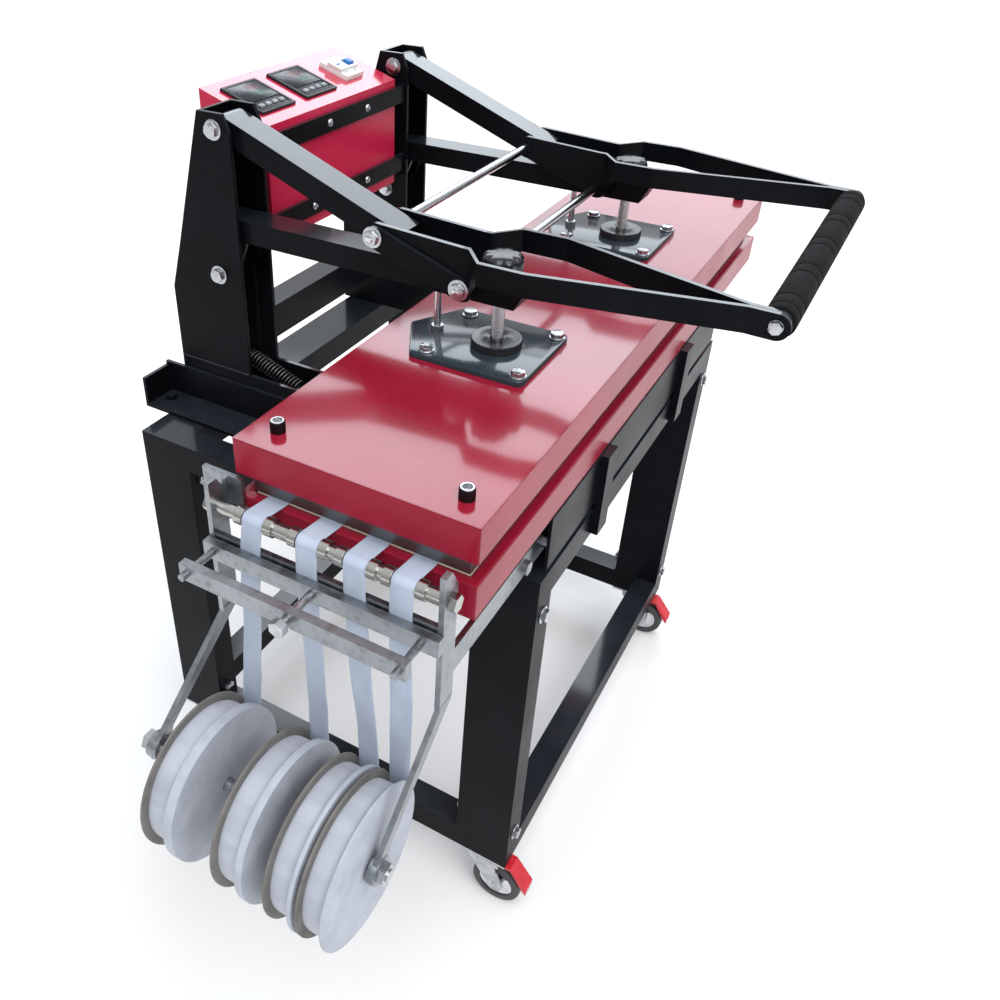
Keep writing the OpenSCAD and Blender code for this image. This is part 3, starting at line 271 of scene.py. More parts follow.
def painted(name, dark, light, worn, rough, spec, coat, wear=0.5, radius=0.0012, top_sheen=None, grain=0.02):
    """Paint with chipped edges. coat is a pair: upright faces, level faces. The optional pale bluish colour
    for level faces is painted on them in patches: a painted reflection of the bright sky above them."""
    s = Shader(name, spec=spec)
    s.link(s.slope(*coat), s.b.inputs["Coat Weight"])
    edge = s.edge_mask(s.round_edges(radius))
    patch = s.ramp(s.noise(9), 0.3, 0.7)
    speck = s.ramp(s.noise(240, 2), 0.62, 0.72)
    base = s.mix(dark, light, patch)
    base = s.mix(base, worn, s.times(speck, 0.04))
    chip = s.times(edge, s.ramp(s.noise(70, 4), 0.45, 0.65))
    base = s.mix(base, worn, s.times(chip, wear))
    # Painted reflection: level faces are lightened in patches towards a pale bluish colour, standing in for
    # the sky that they mirror.
    if top_sheen:
        sheen_mask = s.times(s.slope(0.0, 1.0), s.ramp(s.noise(14, 5), 0.25, 0.75, 0.3, 1.0))
        base = s.mix(base, top_sheen, sheen_mask)
    r = s.ramp(s.noise(6, 2), 0.3, 0.7, rough[0], rough[1])
    s.bump(s.noise(500, 2), grain, 0.0002)
    return s.finish(base, r)


def metal(name, dark, light, rough, stretch=None, scale=60, bump=0.1, mottle=0.0):
    """Bare or plated metal: stretch gives its grain a direction, mottle gives it zinc's flakes."""
    s = Shader(name, metal=1.0)
    s.round_edges(0.0006)
    n = s.noise(scale, 4, stretch=stretch)
    base = s.mix(dark, light, s.ramp(n, 0.3, 0.7))
    if mottle:
        v = s.node("ShaderNodeTexVoronoi", Scale=120.0)
        s.link(s.pos, v.inputs["Vector"])
        base = s.mix(base, light, s.times(s.ramp(v.outputs["Distance"], 0.1, 0.6), mottle))
    r = s.ramp(s.noise(scale * 2, 3, stretch=stretch), 0.3, 0.7, rough[0], rough[1])
    s.bump(n, bump, 0.0003)
    return s.finish(base, r)


def plastic(name, dark, light, rough, grain=1500, bump=0.15, spec=0.5, radius=0.0008):
    """Plastic, rubber, card or board."""
    s = Shader(name, spec=spec)
    s.round_edges(radius)
    base = s.mix(dark, light, s.ramp(s.noise(40, 4), 0.3, 0.7))
    s.bump(s.noise(grain, 2), bump, 0.0003)
    return s.finish(base, s.ramp(s.noise(80), 0.3, 0.7, rough[0], rough[1]))


def fabric(name, base, shade, creases):
    """Ribbon with a fine rib along it. creases stretches the noise of its folds. The rib's grooves and the
    folds are darkened towards the shade colour: painted shade.
    """
    s = Shader(name, rough=0.6, spec=0.25, sheen=0.2)
    rib = s.node("ShaderNodeTexWave", Scale=420.0, Distortion=0.4)
    rib.wave_type = "BANDS"
    rib.bands_direction = "Y"
    s.link(s.pos, rib.inputs["Vector"])
    # Painted shade in the rib's grooves.
    c = s.mix(base, shade, s.ramp(rib.outputs["Fac"], 0.2, 0.9, 0.0, 0.35))
    fold_and_shade = s.noise(1.0, 3, stretch=creases, distortion=0.6)
    # Painted shade: the folds darken the ribbon towards the shade colour. The same noise also gives the folds
    # their bump.
    c = s.mix(c, shade, s.ramp(fold_and_shade, 0.40, 0.72, 0.0, 0.5))
    s.bump(fold_and_shade, 0.4, 0.004)
    s.bump(rib.outputs["Fac"], 0.25, 0.0003)
    return s.finish(c)


def make_materials():
    M = {}
    # The black's pale bluish colour for level faces is a painted reflection of the sky above them.
    M["black"] = painted("black_paint", (0.003, 0.0034, 0.0045), (0.006, 0.007, 0.009), (0.03, 0.032, 0.037),
                         (0.28, 0.4), 0.06, (0.0, 1.0), top_sheen=(0.02, 0.025, 0.033))
    M["red"] = painted("red_paint", (0.27, 0.007, 0.024), (0.32, 0.010, 0.033), (0.42, 0.08, 0.10),
                       (0.24, 0.32), 0.18, (0.0, 1.0), wear=0.3, radius=0.004, grain=0.008)
    # Painted light: the control box's red is a lighter copy of the cover's red paint, standing in for light
    # on a front that the lamps leave in shade.
    M["lit_box_red"] = painted("lit_box_red_paint", (0.50, 0.015, 0.055), (0.58, 0.021, 0.072), (0.6, 0.12, 0.18),
                           (0.18, 0.28), 0.2, (0.0, 1.0), wear=0.3, radius=0.0015, grain=0.01)
    M["zinc"] = metal("zinc_plate", (0.34, 0.35, 0.37), (0.6, 0.61, 0.63), (0.16, 0.34), mottle=0.2)
    M["bright"] = metal("ground_steel", (0.52, 0.53, 0.55), (0.74, 0.75, 0.77), (0.12, 0.26),
                        stretch=(1, 30, 30), scale=90)
    M["roller"] = metal("turned_steel", (0.33, 0.32, 0.30), (0.56, 0.55, 0.52), (0.1, 0.24),
                        stretch=(30, 1, 30), scale=90)
    M["galv"] = metal("galvanized_steel", (0.17, 0.185, 0.195), (0.36, 0.38, 0.40), (0.28, 0.46),
                      mottle=0.6, scale=35)
    M["blacked"] = metal("blacked_steel", (0.015, 0.016, 0.018), (0.04, 0.041, 0.045), (0.3, 0.45))
    M["grey_plate"] = painted("grey_plate_paint", (0.022, 0.031, 0.04), (0.036, 0.049, 0.062),
                              (0.16, 0.18, 0.2), (0.12, 0.24), 0.15, (0.0, 0.8), wear=0.4)
    # Painted shade: the heating plate is given a dark grey instead of bright aluminium, standing in for the
    # cover's shadow over it.
    M["shaded_alu"] = metal("shaded_aluminium", (0.16, 0.155, 0.155), (0.27, 0.265, 0.265), (0.34, 0.5),
                     stretch=(2, 60, 60))
    M["spring"] = metal("spring_wire", (0.1, 0.1, 0.11), (0.2, 0.2, 0.21), (0.3, 0.45))
    M["silicone"] = plastic("silicone_sheet", (0.68, 0.62, 0.5), (0.78, 0.72, 0.6), (0.55, 0.7))
    M["board"] = plastic("pressed_board", (0.45, 0.38, 0.28), (0.56, 0.48, 0.37), (0.7, 0.85),
                         grain=500, bump=0.3)
    M["meter"] = plastic("meter_plastic", (0.007, 0.008, 0.01), (0.014, 0.016, 0.019), (0.3, 0.42),
                         spec=0.3, radius=0.0005)
    M["white_plastic"] = plastic("white_plastic", (0.72, 0.73, 0.72), (0.8, 0.8, 0.79), (0.3, 0.42))
    M["blue"] = plastic("blue_toggle", (0.015, 0.13, 0.42), (0.02, 0.17, 0.52), (0.2, 0.3))
    M["key"] = plastic("key_plastic", (0.22, 0.24, 0.27), (0.32, 0.34, 0.37), (0.4, 0.55), radius=0.0004)
    M["knob"] = plastic("knob_plastic", (0.008, 0.008, 0.01), (0.016, 0.016, 0.019), (0.08, 0.2),
                        grain=330, bump=0.8)
    M["glint"] = plastic("glinting_black", (0.008, 0.009, 0.011), (0.02, 0.021, 0.024), (0.1, 0.22),
                         grain=420, bump=1.0, spec=0.7)
    M["foam"] = plastic("foam_rubber", (0.006, 0.006, 0.007), (0.012, 0.012, 0.013), (0.75, 0.9),
                        grain=1600, bump=0.6, spec=0.12)
    M["tyre"] = plastic("wheel_rubber", (0.03, 0.03, 0.032), (0.05, 0.05, 0.052), (0.45, 0.6))
    M["pedal"] = plastic("pedal_plastic", (0.5, 0.01, 0.02), (0.62, 0.015, 0.03), (0.25, 0.4))
    M["tape"] = fabric("ribbon", (0.50, 0.565, 0.69), (0.33, 0.385, 0.49), creases=(6, 30, 14))
    M["card"] = plastic("reel_card", (0.36, 0.39, 0.45), (0.47, 0.50, 0.57), (0.55, 0.7),
                        grain=300, bump=0.1)
    M["card_grey"] = plastic("grey_card", (0.12, 0.115, 0.11), (0.2, 0.19, 0.18), (0.75, 0.9),
                             grain=300, bump=0.25)
    # Painted shade: dark streaks along the axle across the wound turns stand in for the bands of shade
    # between their reflections.
    M["wind"] = fabric("wound_ribbon", (0.50, 0.53, 0.60), (0.24, 0.26, 0.31), creases=(26, 4, 26))
    M["glass"] = plastic("display_cover", (0.010, 0.014, 0.02), (0.018, 0.024, 0.032), (0.12, 0.2),
                         bump=0.02, spec=0.25)
    M["meter_grey"] = plastic("meter_grey", (0.08, 0.085, 0.09), (0.11, 0.115, 0.12), (0.35, 0.45))
    M["digit_red"] = plastic("digit_red", (0.22, 0.03, 0.03), (0.28, 0.04, 0.04), (0.3, 0.4))
    M["digit_green"] = plastic("digit_green", (0.05, 0.2, 0.08), (0.06, 0.25, 0.1), (0.3, 0.4))
    M["chrome"] = metal("chrome_cover", (0.6, 0.61, 0.63), (0.8, 0.81, 0.83), (0.06, 0.16), bump=0.03)
    return M


def dress():
    """One of the materials for each CAD node."""
    finish = {
        "black": ["stand_side_frames", "stand_end_frames", "base_channels", "front_rail", "cross_tubes",
                  "columns", "control_bars", "arms", "links", "lever_bars"],
        "red": ["upper_cover", "lower_tray"], "lit_box_red": ["control_box"],
        "zinc": ["frame_bolts", "caster_plates", "pivot_bolts", "handle_rod", "clamp_screw", "reel_axle"],
        "bright": ["cross_shafts", "spindles"], "roller": ["roller_shaft"],
        "galv": ["feed_plate_front", "feed_plate_back", "tape_brake_frame", "clamp_bar"],
        "blacked": ["head_bolts"], "grey_plate": ["mounting_plates"], "shaded_alu": ["heating_plate"],
        "spring": ["return_springs"], "silicone": ["silicone_pad"], "board": ["bed_board"],
        "meter": ["panel_instruments"], "blue": ["breaker_toggle"], "foam": ["foam_grip"],
        "knob": ["pressure_knob_near", "pressure_knob_far"], "tape": ["lanyard_tapes"],
    }
    for i in range(1, 5):
        finish["zinc"].append(f"caster_fork_{i}")
        finish.setdefault("tyre", []).append(f"caster_wheel_{i}")
        finish.setdefault("card", []).append(f"reel_{i}")
    finish["pedal"] = ["caster_pedal_1", "caster_pedal_2"]
    finish["key"] = [f"key_{i}" for i in range(1, 9)]
    for k, names in finish.items():
        for n in names:
            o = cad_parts[n]
            if not o.data.materials:
                o.data.materials.append(M[k])
            for s in o.material_slots:
                s.material = M[k]


# Mesh helpers
def skin(rings, n, ends="lids"):
    """Faces between rings of n points each. ends is "lids", "open", or "joined", where the last ring meets
    the first."""
    faces = []
    for k in range(rings if ends == "joined" else rings - 1):
        a, b = k * n, (k + 1) % rings * n
        faces += [(a + j, a + (j + 1) % n, b + (j + 1) % n, b + j) for j in range(n)]
    if ends == "lids":
        faces += [tuple(range(n)), tuple(range((rings - 1) * n, rings * n))]
    return faces


def piece(name, verts, faces, material, body, smooth=None):
    """A mesh object on a body, shaded smooth up to that many degrees."""
    mesh = bpy.data.meshes.new(name)
    mesh.from_pydata([tuple(v) for v in verts], [], faces)
    bm = bmesh.new()
    bm.from_mesh(mesh)
    bmesh.ops.recalc_face_normals(bm, faces=bm.faces)
    bm.to_mesh(mesh)
    bm.free()
    mesh.materials.append(material)
    o = bpy.data.objects.new(name, mesh)
    bpy.context.scene.collection.objects.link(o)
    if smooth is not None:
        mesh.shade_smooth()
        mesh.set_sharp_from_angle(angle=math.radians(smooth))
    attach(o, body)
    return o


def lathe(profile, centre, axis, segments=96, wave=None):
    """Verts and faces of a closed profile [(along, radius)] turned about axis ("x", "y" or "z") through
    centre. wave(angle, along, radius) may move a point: it returns (along, radius)."""
    verts = []
    for k in range(segments):
        a = 2 * math.pi * k / segments
        c, s = math.cos(a), math.sin(a)
        for along, r in profile:
            if wave:
                along, r = wave(a, along, r)
            v = {"x": (along, r * c, r * s), "y": (r * c, along, r * s), "z": (r * c, r * s, along)}[axis]
            verts.append(P(centre[0] + v[0], centre[1] + v[1], centre[2] + v[2]))
    return verts, skin(segments, len(profile), "joined")


def ring_piece(name, profile, centre, axis, material, body, segments=96, smooth=35, wave=None):
    v, f = lathe(profile, centre, axis, segments, wave)
    return piece(name, v, f, material, body, smooth)


def disc_profile(a0, a1, r0, r1, edge=0.6, steps=3):
    """Closed profile of a disc, a0 to a1 along the axis and r0 to r1 in radius, its outer edges rounded."""
    pts = [(a0, r0), (a0, r1 - edge)]
    for k in range(1, steps):
        t = math.pi / 2 * k / steps
        pts.append((a0 + edge * (1 - math.cos(t)), r1 - edge + edge * math.sin(t)))
    pts += [(a0 + edge, r1), (a1 - edge, r1)]
    for k in range(1, steps):
        t = math.pi / 2 * k / steps
        pts.append((a1 - edge * (1 - math.sin(t)), r1 - edge + edge * math.cos(t)))
    return pts + [(a1, r1 - edge), (a1, r0)]


# Feed end: axes along Y as (x, z), and places along Y
AXLE = (-632.6, TOP - 368.4)
ROLLER = (-537.0, 754.0)
TAPE_Y = (94.4, 28.6, -26.3, -78.9)
REEL_LEFT = (130.5, 37.0, -28.5, -67.0)
REEL_W = (28.0, 28.0, 26.0, 26.0)
DISC_T = (12.0, 9.0, 5.0, 2.0)
FLANGE_T = 3
REEL_BORE, REEL_R = 7.3, 88.6

# A tape's way down: through the brake, then free to the reel, which it meets at REEL_TOP
BRAKE_X, BRAKE_TOP, BRAKE_LOW = -548.2, 726, 701
REEL_TOP = AXLE[1] + 44.35
DRIFT = 3.1


def tape_route():
    """Middle line of a tape in (x, z), as in the CAD, with the corner into the brake softened."""
    mid, r = BED + 0.8, 8.3
    run_end, run = 480, 985
    pts = [(run_end - run * k / 60, mid) for k in range(61)]
    for k in range(17):
        a = math.radians(96 + 88 * k / 16)
        pts.append((ROLLER[0] + r * math.cos(a), ROLLER[1] + r * math.sin(a)))
    x0, z0 = pts[-1]
    for k in range(1, 9):
        t = k / 8
        pts.append((x0 + (BRAKE_X - x0) * t, z0 + (BRAKE_TOP - z0) * t))
    pts += [(BRAKE_X, BRAKE_TOP - (BRAKE_TOP - BRAKE_LOW) * k / 6) for k in range(1, 7)]
    for k in range(1, 25):
        t = k / 24
        pts.append((BRAKE_X - DRIFT * t, BRAKE_LOW + (REEL_TOP - BRAKE_LOW) * t))
    pts += [(BRAKE_X - DRIFT, REEL_TOP + (AXLE[1] - REEL_TOP) * k / 8) for k in range(1, 9)]
    return pts


def make_tapes():
    """Four ribbons on one route. Below the brake each one bows and twists a little in its own way."""
    pts = tape_route()
    cuts = [-12.5, -12.3, -8, -4, 0, 4, 8, 12.3, 12.5]
    ease = 40
    rng = random.Random(4)
    for i in range(4):
        mid_y = REEL_LEFT[i] - FLANGE_T - REEL_W[i] / 2
        ph = [rng.uniform(0, 6.28) for _ in range(3)]
        verts = []
        n = len(cuts)
        for k, (x, z) in enumerate(pts):
            a, b = pts[max(k - 1, 0)], pts[min(k + 1, len(pts) - 1)]
            d = Vector((b[0] - a[0], b[1] - a[1])).normalized()
            nrm = Vector((d.y, -d.x))
            t = min(1.0, max(0.0, ROLLER[1] - z) / (ROLLER[1] - REEL_TOP))
            yc = TAPE_Y[i] + (mid_y - TAPE_Y[i]) * t
            free = 0.0
            if x < ROLLER[0]:
                free = max(0.0, min(1.0, (BRAKE_LOW - z) / ease, (z - REEL_TOP) / ease))
            bow = free * (1.8 * math.sin(ph[0] + t * 5) + 0.5 * math.sin(ph[2] + t * 16))
            twist = free * 0.05 * math.sin(ph[1] + t * 7)
            for side in (1, -1):
                for c in (cuts if side == 1 else cuts[::-1]):
                    th = 0.42 if abs(c) < 12.4 else 0.3
                    off = side * th + bow + twist * c
                    verts.append(P(x + nrm.x * off, yc + c, z + nrm.y * off))
        m = 2 * n
        faces = skin(len(pts), m, "open")
        for k in (0, len(pts) - 1):
            for j in range(n - 1):
                faces.append((k * m + j, k * m + j + 1, k * m + m - 2 - j, k * m + m - 1 - j))
        o = piece(f"tape_{i + 1}", verts, faces, M["tape"], "stand", 50)
        if i == 0:
            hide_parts("lanyard_tapes")


def winding_profile(lo, hi, seed):
    """A winding from lo to hi along the axle, whose edges rise and fall a little from turn to turn."""
    rng = random.Random(seed)
    inner, outer, turn, steps = 10.0, 79.0, 1.4, 14
    prof = [(lo, REEL_BORE)]
    r = inner
    while r < outer:
        prof.append((lo + 0.05 + 0.25 * rng.random(), r))
        r += turn
    for k in range(steps + 1):
        bulge = outer + 0.6 + 0.35 * math.sin(math.pi * k / steps) - (0.5 if k in (0, steps) else 0)
        prof.append((lo + 0.2 + (hi - lo - 0.4) * k / steps, bulge))
    r = outer
    while r > inner:
        prof.append((hi - 0.05 - 0.25 * rng.random(), r))
        r -= turn
    return prof + [(hi, REEL_BORE)]


def make_reels():
    """Each reel is a grey card flange, a winding and a pale disc."""
    c = (AXLE[0], 0, AXLE[1])
    for i in range(4):
        left = REEL_LEFT[i]
        hi = left - FLANGE_T
        lo = hi - REEL_W[i]
        body = f"reel_{i + 1}"
        flange = disc_profile(hi, left, REEL_BORE, REEL_R, 0.7)
        card = ring_piece(f"card_flange_{i + 1}", flange, c, "y", M["card_grey"], body)
        prof = winding_profile(lo, hi, 20 + i)
        wind = ring_piece(f"winding_{i + 1}", prof, c, "y", M["wind"], body, 128, 30)
        plate = disc_profile(lo - DISC_T[i], lo, REEL_BORE, REEL_R, min(0.9, DISC_T[i] / 3))
        disc = ring_piece(f"pale_disc_{i + 1}", plate, c, "y", M["card"], body)
        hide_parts(f"reel_{i + 1}")


def make_grip():
    """Foam tube over the handle rod, with soft-edged pairs of grooves."""
    half, r, bore, depth, pitch = 201.5, 17.0, 8.1, 1.5, 88.0
    prof = [(-half, bore), (-half, r - 2)]
    prof += [(-half + 2 - 2 * math.cos(t), r - 2 + 2 * math.sin(t)) for t in (0.4, 0.8, 1.2)]
    groove = ((-0.8, 0), (-0.1, 0.25), (0.35, 0.9), (0.9, depth - 0.1), (1.5, depth), (2.1, depth - 0.1),
              (2.65, 0.9), (3.1, 0.25), (3.8, 0))
    marks = sorted(k * pitch + g for k in range(-2, 3) for g in (-13, 10))
    for a in marks:
        prof += [(a + dx, r - dr) for dx, dr in groove]
    prof += [(half - 2 + 2 * math.cos(t), r - 2 + 2 * math.sin(t)) for t in (1.2, 0.8, 0.4)]
    prof += [(half, r - 2), (half, bore)]
    o = ring_piece("foam_tube", prof, (0, HANDLE[0], TOP + HANDLE[1]), "x", M["foam"], "lever", 80, 60)
    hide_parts("foam_grip")


def rounded(cu, cv, wu, wv, r, steps=5):
    """Outline of a rounded rectangle wu by wv about (cu, cv)."""
    pts = []
    for su, sv, a0 in ((1, 1, 0), (-1, 1, 90), (-1, -1, 180), (1, -1, 270)):
        for k in range(steps):
            a = math.radians(a0 + 90 * k / (steps - 1))
            pts.append((cu + su * (wu / 2 - r) + r * math.cos(a), cv + sv * (wv / 2 - r) + r * math.sin(a)))
    return pts


def eased(lo, hi, e):
    """(inset, height) of a plate's outlines from lo to hi, its upper edge eased by e."""
    return [(0, lo), (0, hi - e), (0.3 * e, hi - 0.3 * e), (e, hi)]


def make_pad():
    """Silicone sheet with softened edges on the bed board."""
    length, width, thick, r = 999.6, 249.6, 6, 4
    levels = eased(BED - thick, BED, 1.2)
    verts = []
    for inset, z in levels:
        loop = rounded(0, 0, length - 2 * inset, width - 2 * inset, r - inset)
        verts += [P(x, y, z) for x, y in loop]
    faces = skin(len(levels), len(verts) // len(levels))
    o = piece("pad_sheet", verts, faces, M["silicone"], "stand", 40)
    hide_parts("silicone_pad")


def rim(points, radii):
    """Outline of a convex polygon with its corners rounded."""
    steps = 6
    out = []
    n = len(points)
    for i, (p, r) in enumerate(zip(points, radii)):
        p, a, b = Vector(p), Vector(points[i - 1]), Vector(points[(i + 1) % n])
        da, db = (a - p).normalized(), (b - p).normalized()
        half = da.angle(db) / 2
        c = p + (da + db).normalized() * (r / math.sin(half))
        s, e = p + da * (r / math.tan(half)) - c, p + db * (r / math.tan(half)) - c
        turn = math.atan2(s.x * e.y - s.y * e.x, s.dot(e))
        for k in range(steps + 1):
            cos, sin = math.cos(turn * k / steps), math.sin(turn * k / steps)
            out.append(c + Vector((s.x * cos - s.y * sin, s.x * sin + s.y * cos)))
    return out


def make_plates():
    """Mounting plates with rounded corners and a ground bevel."""
    half, mid_y = 68, 5
    shape = [(-half, -65), (half, -65), (half, 75), (0, 112), (-half, 75)]
    levels = ((0, 0.0), (0, 5.7), (0.3, 6.25), (0.9, 6.5))
    for u, tag in HEADS:
        verts = []
        for inset, z in levels:
            k = 1 - inset / half
            loop = rim([(x * k, mid_y + (y - mid_y) * k) for x, y in shape], (9, 9, 7, 5, 7))
            verts += [P(u + q.x, q.y, TOP + z) for q in loop]
        faces = skin(len(levels), len(verts) // len(levels))
        o = piece(f"mount_plate_{tag}", verts, faces, M["grey_plate"], "platen", 30)
        if u < 0:
            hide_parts("mounting_plates")


def make_lip():
    """The tray's top edge, folded inwards round the pad."""
    def loop(x, y, r):
        return rim([(-x, -y), (x, -y), (x, y), (-x, y)], (r,) * 4)
    top, foot = BED + 0.25, 751
    levels = ((512.4, 137.9, 2.0, foot), (512.4, 137.9, 2.0, top - 0.9), (512.1, 137.6, 1.8, top - 0.25),
              (511.5, 137.0, 1.5, top), (501.0, 126.0, 1.0, top), (500.6, 125.6, 0.8, top - 0.5),
              (500.6, 125.6, 0.8, foot))
    verts = []
    for x, y, r, z in levels:
        verts += [P(q.x, q.y, z) for q in loop(x, y, r)]
    piece("tray_lip", verts, skin(len(levels), len(verts) // len(levels), "joined"), M["red"], "stand", 30)


def make_domes():
    """Round bolt heads on the control bars."""
    prof = [(349.3, 0.3), (349.3, 5.4), (348.4, 5.5), (346.9, 4.7), (345.8, 3.3), (345.2, 1.6), (345.1, 0.3)]
    for n, (x, z) in enumerate(((-25, 167.5), (69, 167.5), (-67, 64.5), (67, 64.5))):
        ring_piece(f"dome_head_{n}", prof, (x, 0, TOP + z), "y", M["zinc"], "stand", 32, 50)


# Hardware
def make_washers():
    """Numbered in the order of this list: centre, axis, seat, signed thickness, radius, body."""
    rows = []
    for s, (u, _) in zip(SIDES, HEADS):
        for y, z in PIVOTS:
            rows += [((0, y, TOP + z), "x", u + side * 32, side * WASHER, 12.5, "stand") for side in SIDES]
        for y, z in (KNEE, ARM_PIN):
            rows.append(((0, y, TOP + z), "x", s * 242, s * 1.8, 12.5, "lever"))
        for x, y in PLATE_BOLTS:
            rows.append(((u + x, y, 0), "z", PLATE_TOP, WASHER, 9.6, "platen"))
    for x, z in FRAME_BOLTS:
        rows.append(((x, 0, z), "y", STAND_FRONT, -WASHER, 11, "stand"))
        rows.append(((x, 0, z), "y", STAND_BACK, WASHER, 11, "stand"))
    for n, (centre, axis, seat, thick, r, body) in enumerate(rows, 1):
        lo, hi = min(seat, seat + thick), max(seat, seat + thick)
        ring_piece(f"washer_{n}", disc_profile(lo, hi, 5.0, r, 0.4, 2), centre, axis, M["zinc"], body, 40, 35)


def make_wheels():
    """A rubber tyre between two pressed covers; the wheel trails its swivel by 25."""
    r, trail = 37.5, 25
    tread = [(-12.4, 26), (-12.4, 34.5), (-11.5, 36.2), (-9, 37.2), (-3, r), (3, r), (9, 37.2), (11.5, 36.2),
             (12.4, 34.5), (12.4, 26)]
    pressed = [(6, 4.1), (8.5, 4.1), (9.5, 8), (9.0, 11), (7.4, 14), (8.0, 22), (10.6, 28), (12.4, 32.0),
               (12.3, 33.4), (11.4, 33.6), (6, 25)]
    swivels = [(x, y) for y in (-99, 416) for x in (-325, 325)]
    for i, (x, y) in enumerate(swivels, 1):
        c = (x, y - trail, r)
        body = f"wheel_{i}"
        tyre = ring_piece(f"tyre_{i}", tread, c, "x", M["tyre"], body, 96, 40)
        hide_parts(f"caster_wheel_{i}")
        for side, tag in zip(SIDES, "ab"):
            cover = [(side * along, rad) for along, rad in pressed]
            hub = ring_piece(f"wheel_cover_{i}_{tag}", cover, c, "x", M["chrome"], body, 72, 50)


def hex_head(name, centre, axis, base, height, r, body, material, turn=0.0, hole=0.2):
    """Hexagon head or nut with chamfered corners. base is its seat along the axis, height is signed, and r
    is measured to a corner."""
    flat = r * math.cos(math.radians(30))
    s = 1 if height > 0 else -1

    def wave(a, along, rad):
        if rad < flat * 0.9:
            return along, rad
        b = (a + turn) % (math.pi / 3) - math.pi / 6
        out = flat / math.cos(b)
        if rad > r * 0.999:
            lift = (out - flat * 0.985) * 0.6
            return (along if abs(along - base) < 0.3 else along - s * lift), out
        return along, min(rad, out)
    prof = [(base, hole), (base, r), (base + height, r), (base + height, flat * 0.94), (base + height, hole)]
    return ring_piece(name, prof, centre, axis, material, body, 48, 25, wave)


def stud(name, centre, axis, a0, a1, r, body, material, pitch=1.75, depth=0.5):
    """Threaded bar from a0 to a1: ring grooves a pitch apart, ends chamfered."""
    lo, hi = min(a0, a1), max(a0, a1)
    prof = [(lo, 0.3), (lo, r - 1.2), (lo + 1, r - 0.3)]
    n = max(1, int((hi - lo - 2.4) / pitch))
    for k in range(n):
        a = lo + 1.2 + k * pitch
        prof += [(a, r), (a + pitch * 0.3, r), (a + pitch * 0.55, r - depth), (a + pitch * 0.7, r - depth)]
    prof += [(hi - 1, r - 0.3), (hi, r - 1.2), (hi, 0.3)]
    return ring_piece(name, prof, centre, axis, material, body, 32, 60)


def rod(name, centre, axis, a0, a1, r, body, material):
    """Plain bar from a0 to a1 with chamfered ends."""
    e = 0.8
    prof = [(a0, 0.3), (a0, r - e), (a0 + e, r), (a1 - e, r), (a1, r - e), (a1, 0.3)]
    return ring_piece(name, prof, centre, axis, material, body, 40, 40)


def make_frame_bolts():
    """A head and a nut at the stand's front, and again at its back, as (seat, height, end of the thread)."""
    rows = ((STAND_FRONT - WASHER, -5.4, None), (-59, 6.5, -50),
            (STAND_BACK + WASHER, 4.9, None), (376, -6.5, 367.5))
    first = None
    for x, z in FRAME_BOLTS:
        c = (x, 0, z)
        for k, (seat, height, end) in enumerate(rows):
            tag = f"{x}_{z}_{k}".replace("-", "m")
            o = hex_head(f"frame_bolt_{tag}", c, "y", seat, height, 8.5, "stand", M["zinc"], 0.3 * k)
            first = first or o
            if end is not None:
                stud(f"frame_stud_{tag}", c, "y", seat, end, 5, "stand", M["zinc"])
    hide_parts("frame_bolts")


def make_pivots():
    """Pins of the arms and links in the columns, each with a head outside and a nut inside."""
    half, seat, height, r = 33, 33.6, 6.2, 9.5
    first = None
    n = 0
    for s, (u, _) in zip(SIDES, HEADS):
        for y, z in PIVOTS:
            c = (0, y, TOP + z)
            n += 1
            o = hex_head(f"pivot_head_{n}", c, "x", u + s * seat, s * height, r, "stand", M["zinc"], 0.4 * n)
            first = first or o
            hex_head(f"pivot_nut_{n}", c, "x", u - s * seat, -s * height, r, "stand", M["zinc"], 0.7 * n)
            rod(f"pivot_pin_{n}", c, "x", u - half, u + half, 5.98, "stand", M["zinc"])
    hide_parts("pivot_bolts")


def make_shafts():
    """Shafts through both heads at the knee and at the arms, with a nut on each threaded end."""
    half, seat, thread, tip = 243, 243.8, 245, 250.8
    first = None
    for name, (y, z) in (("knee", KNEE), ("arm", ARM_PIN)):
        c = (0, y, TOP + z)
        o = rod(f"{name}_shaft", c, "x", -half, half, 6, "lever", M["bright"])
        first = first or o
        for s, (_, tag) in zip(SIDES, HEADS):
            hex_head(f"{name}_nut_{tag}", c, "x", s * seat, s * 6.0, 9.5, "lever", M["zinc"], 0.5 + s * 0.2)
            stud(f"{name}_end_{tag}", c, "x", s * thread, s * tip, 5.2, "lever", M["bright"], 1.5, 0.4)
    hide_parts("cross_shafts")


def make_handle():
    """Core of the handle, held by a small bolt in each lever's rounded end."""
    half, seat = 213.8, 213.7
    c = (0, HANDLE[0], TOP + HANDLE[1])
    o = rod("handle_core", c, "x", -half, half, 7.95, "lever", M["zinc"])
    for s, (_, tag) in zip(SIDES, HEADS):
        hex_head(f"handle_bolt_{tag}", c, "x", s * seat, s * 5.2, 7.2, "lever", M["zinc"], 0.3)
    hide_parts("handle_rod")


def make_plate_bolts():
    first = None
    places = [(u + x, y, 0) for u, _ in HEADS for x, y in PLATE_BOLTS]
    for n, c in enumerate(places, 1):
        o = hex_head(f"plate_bolt_{n}", c, "z", PLATE_TOP + WASHER, 5.0, 8.5, "platen", M["zinc"], 0.37 * n)
        first = first or o
    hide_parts("head_bolts")


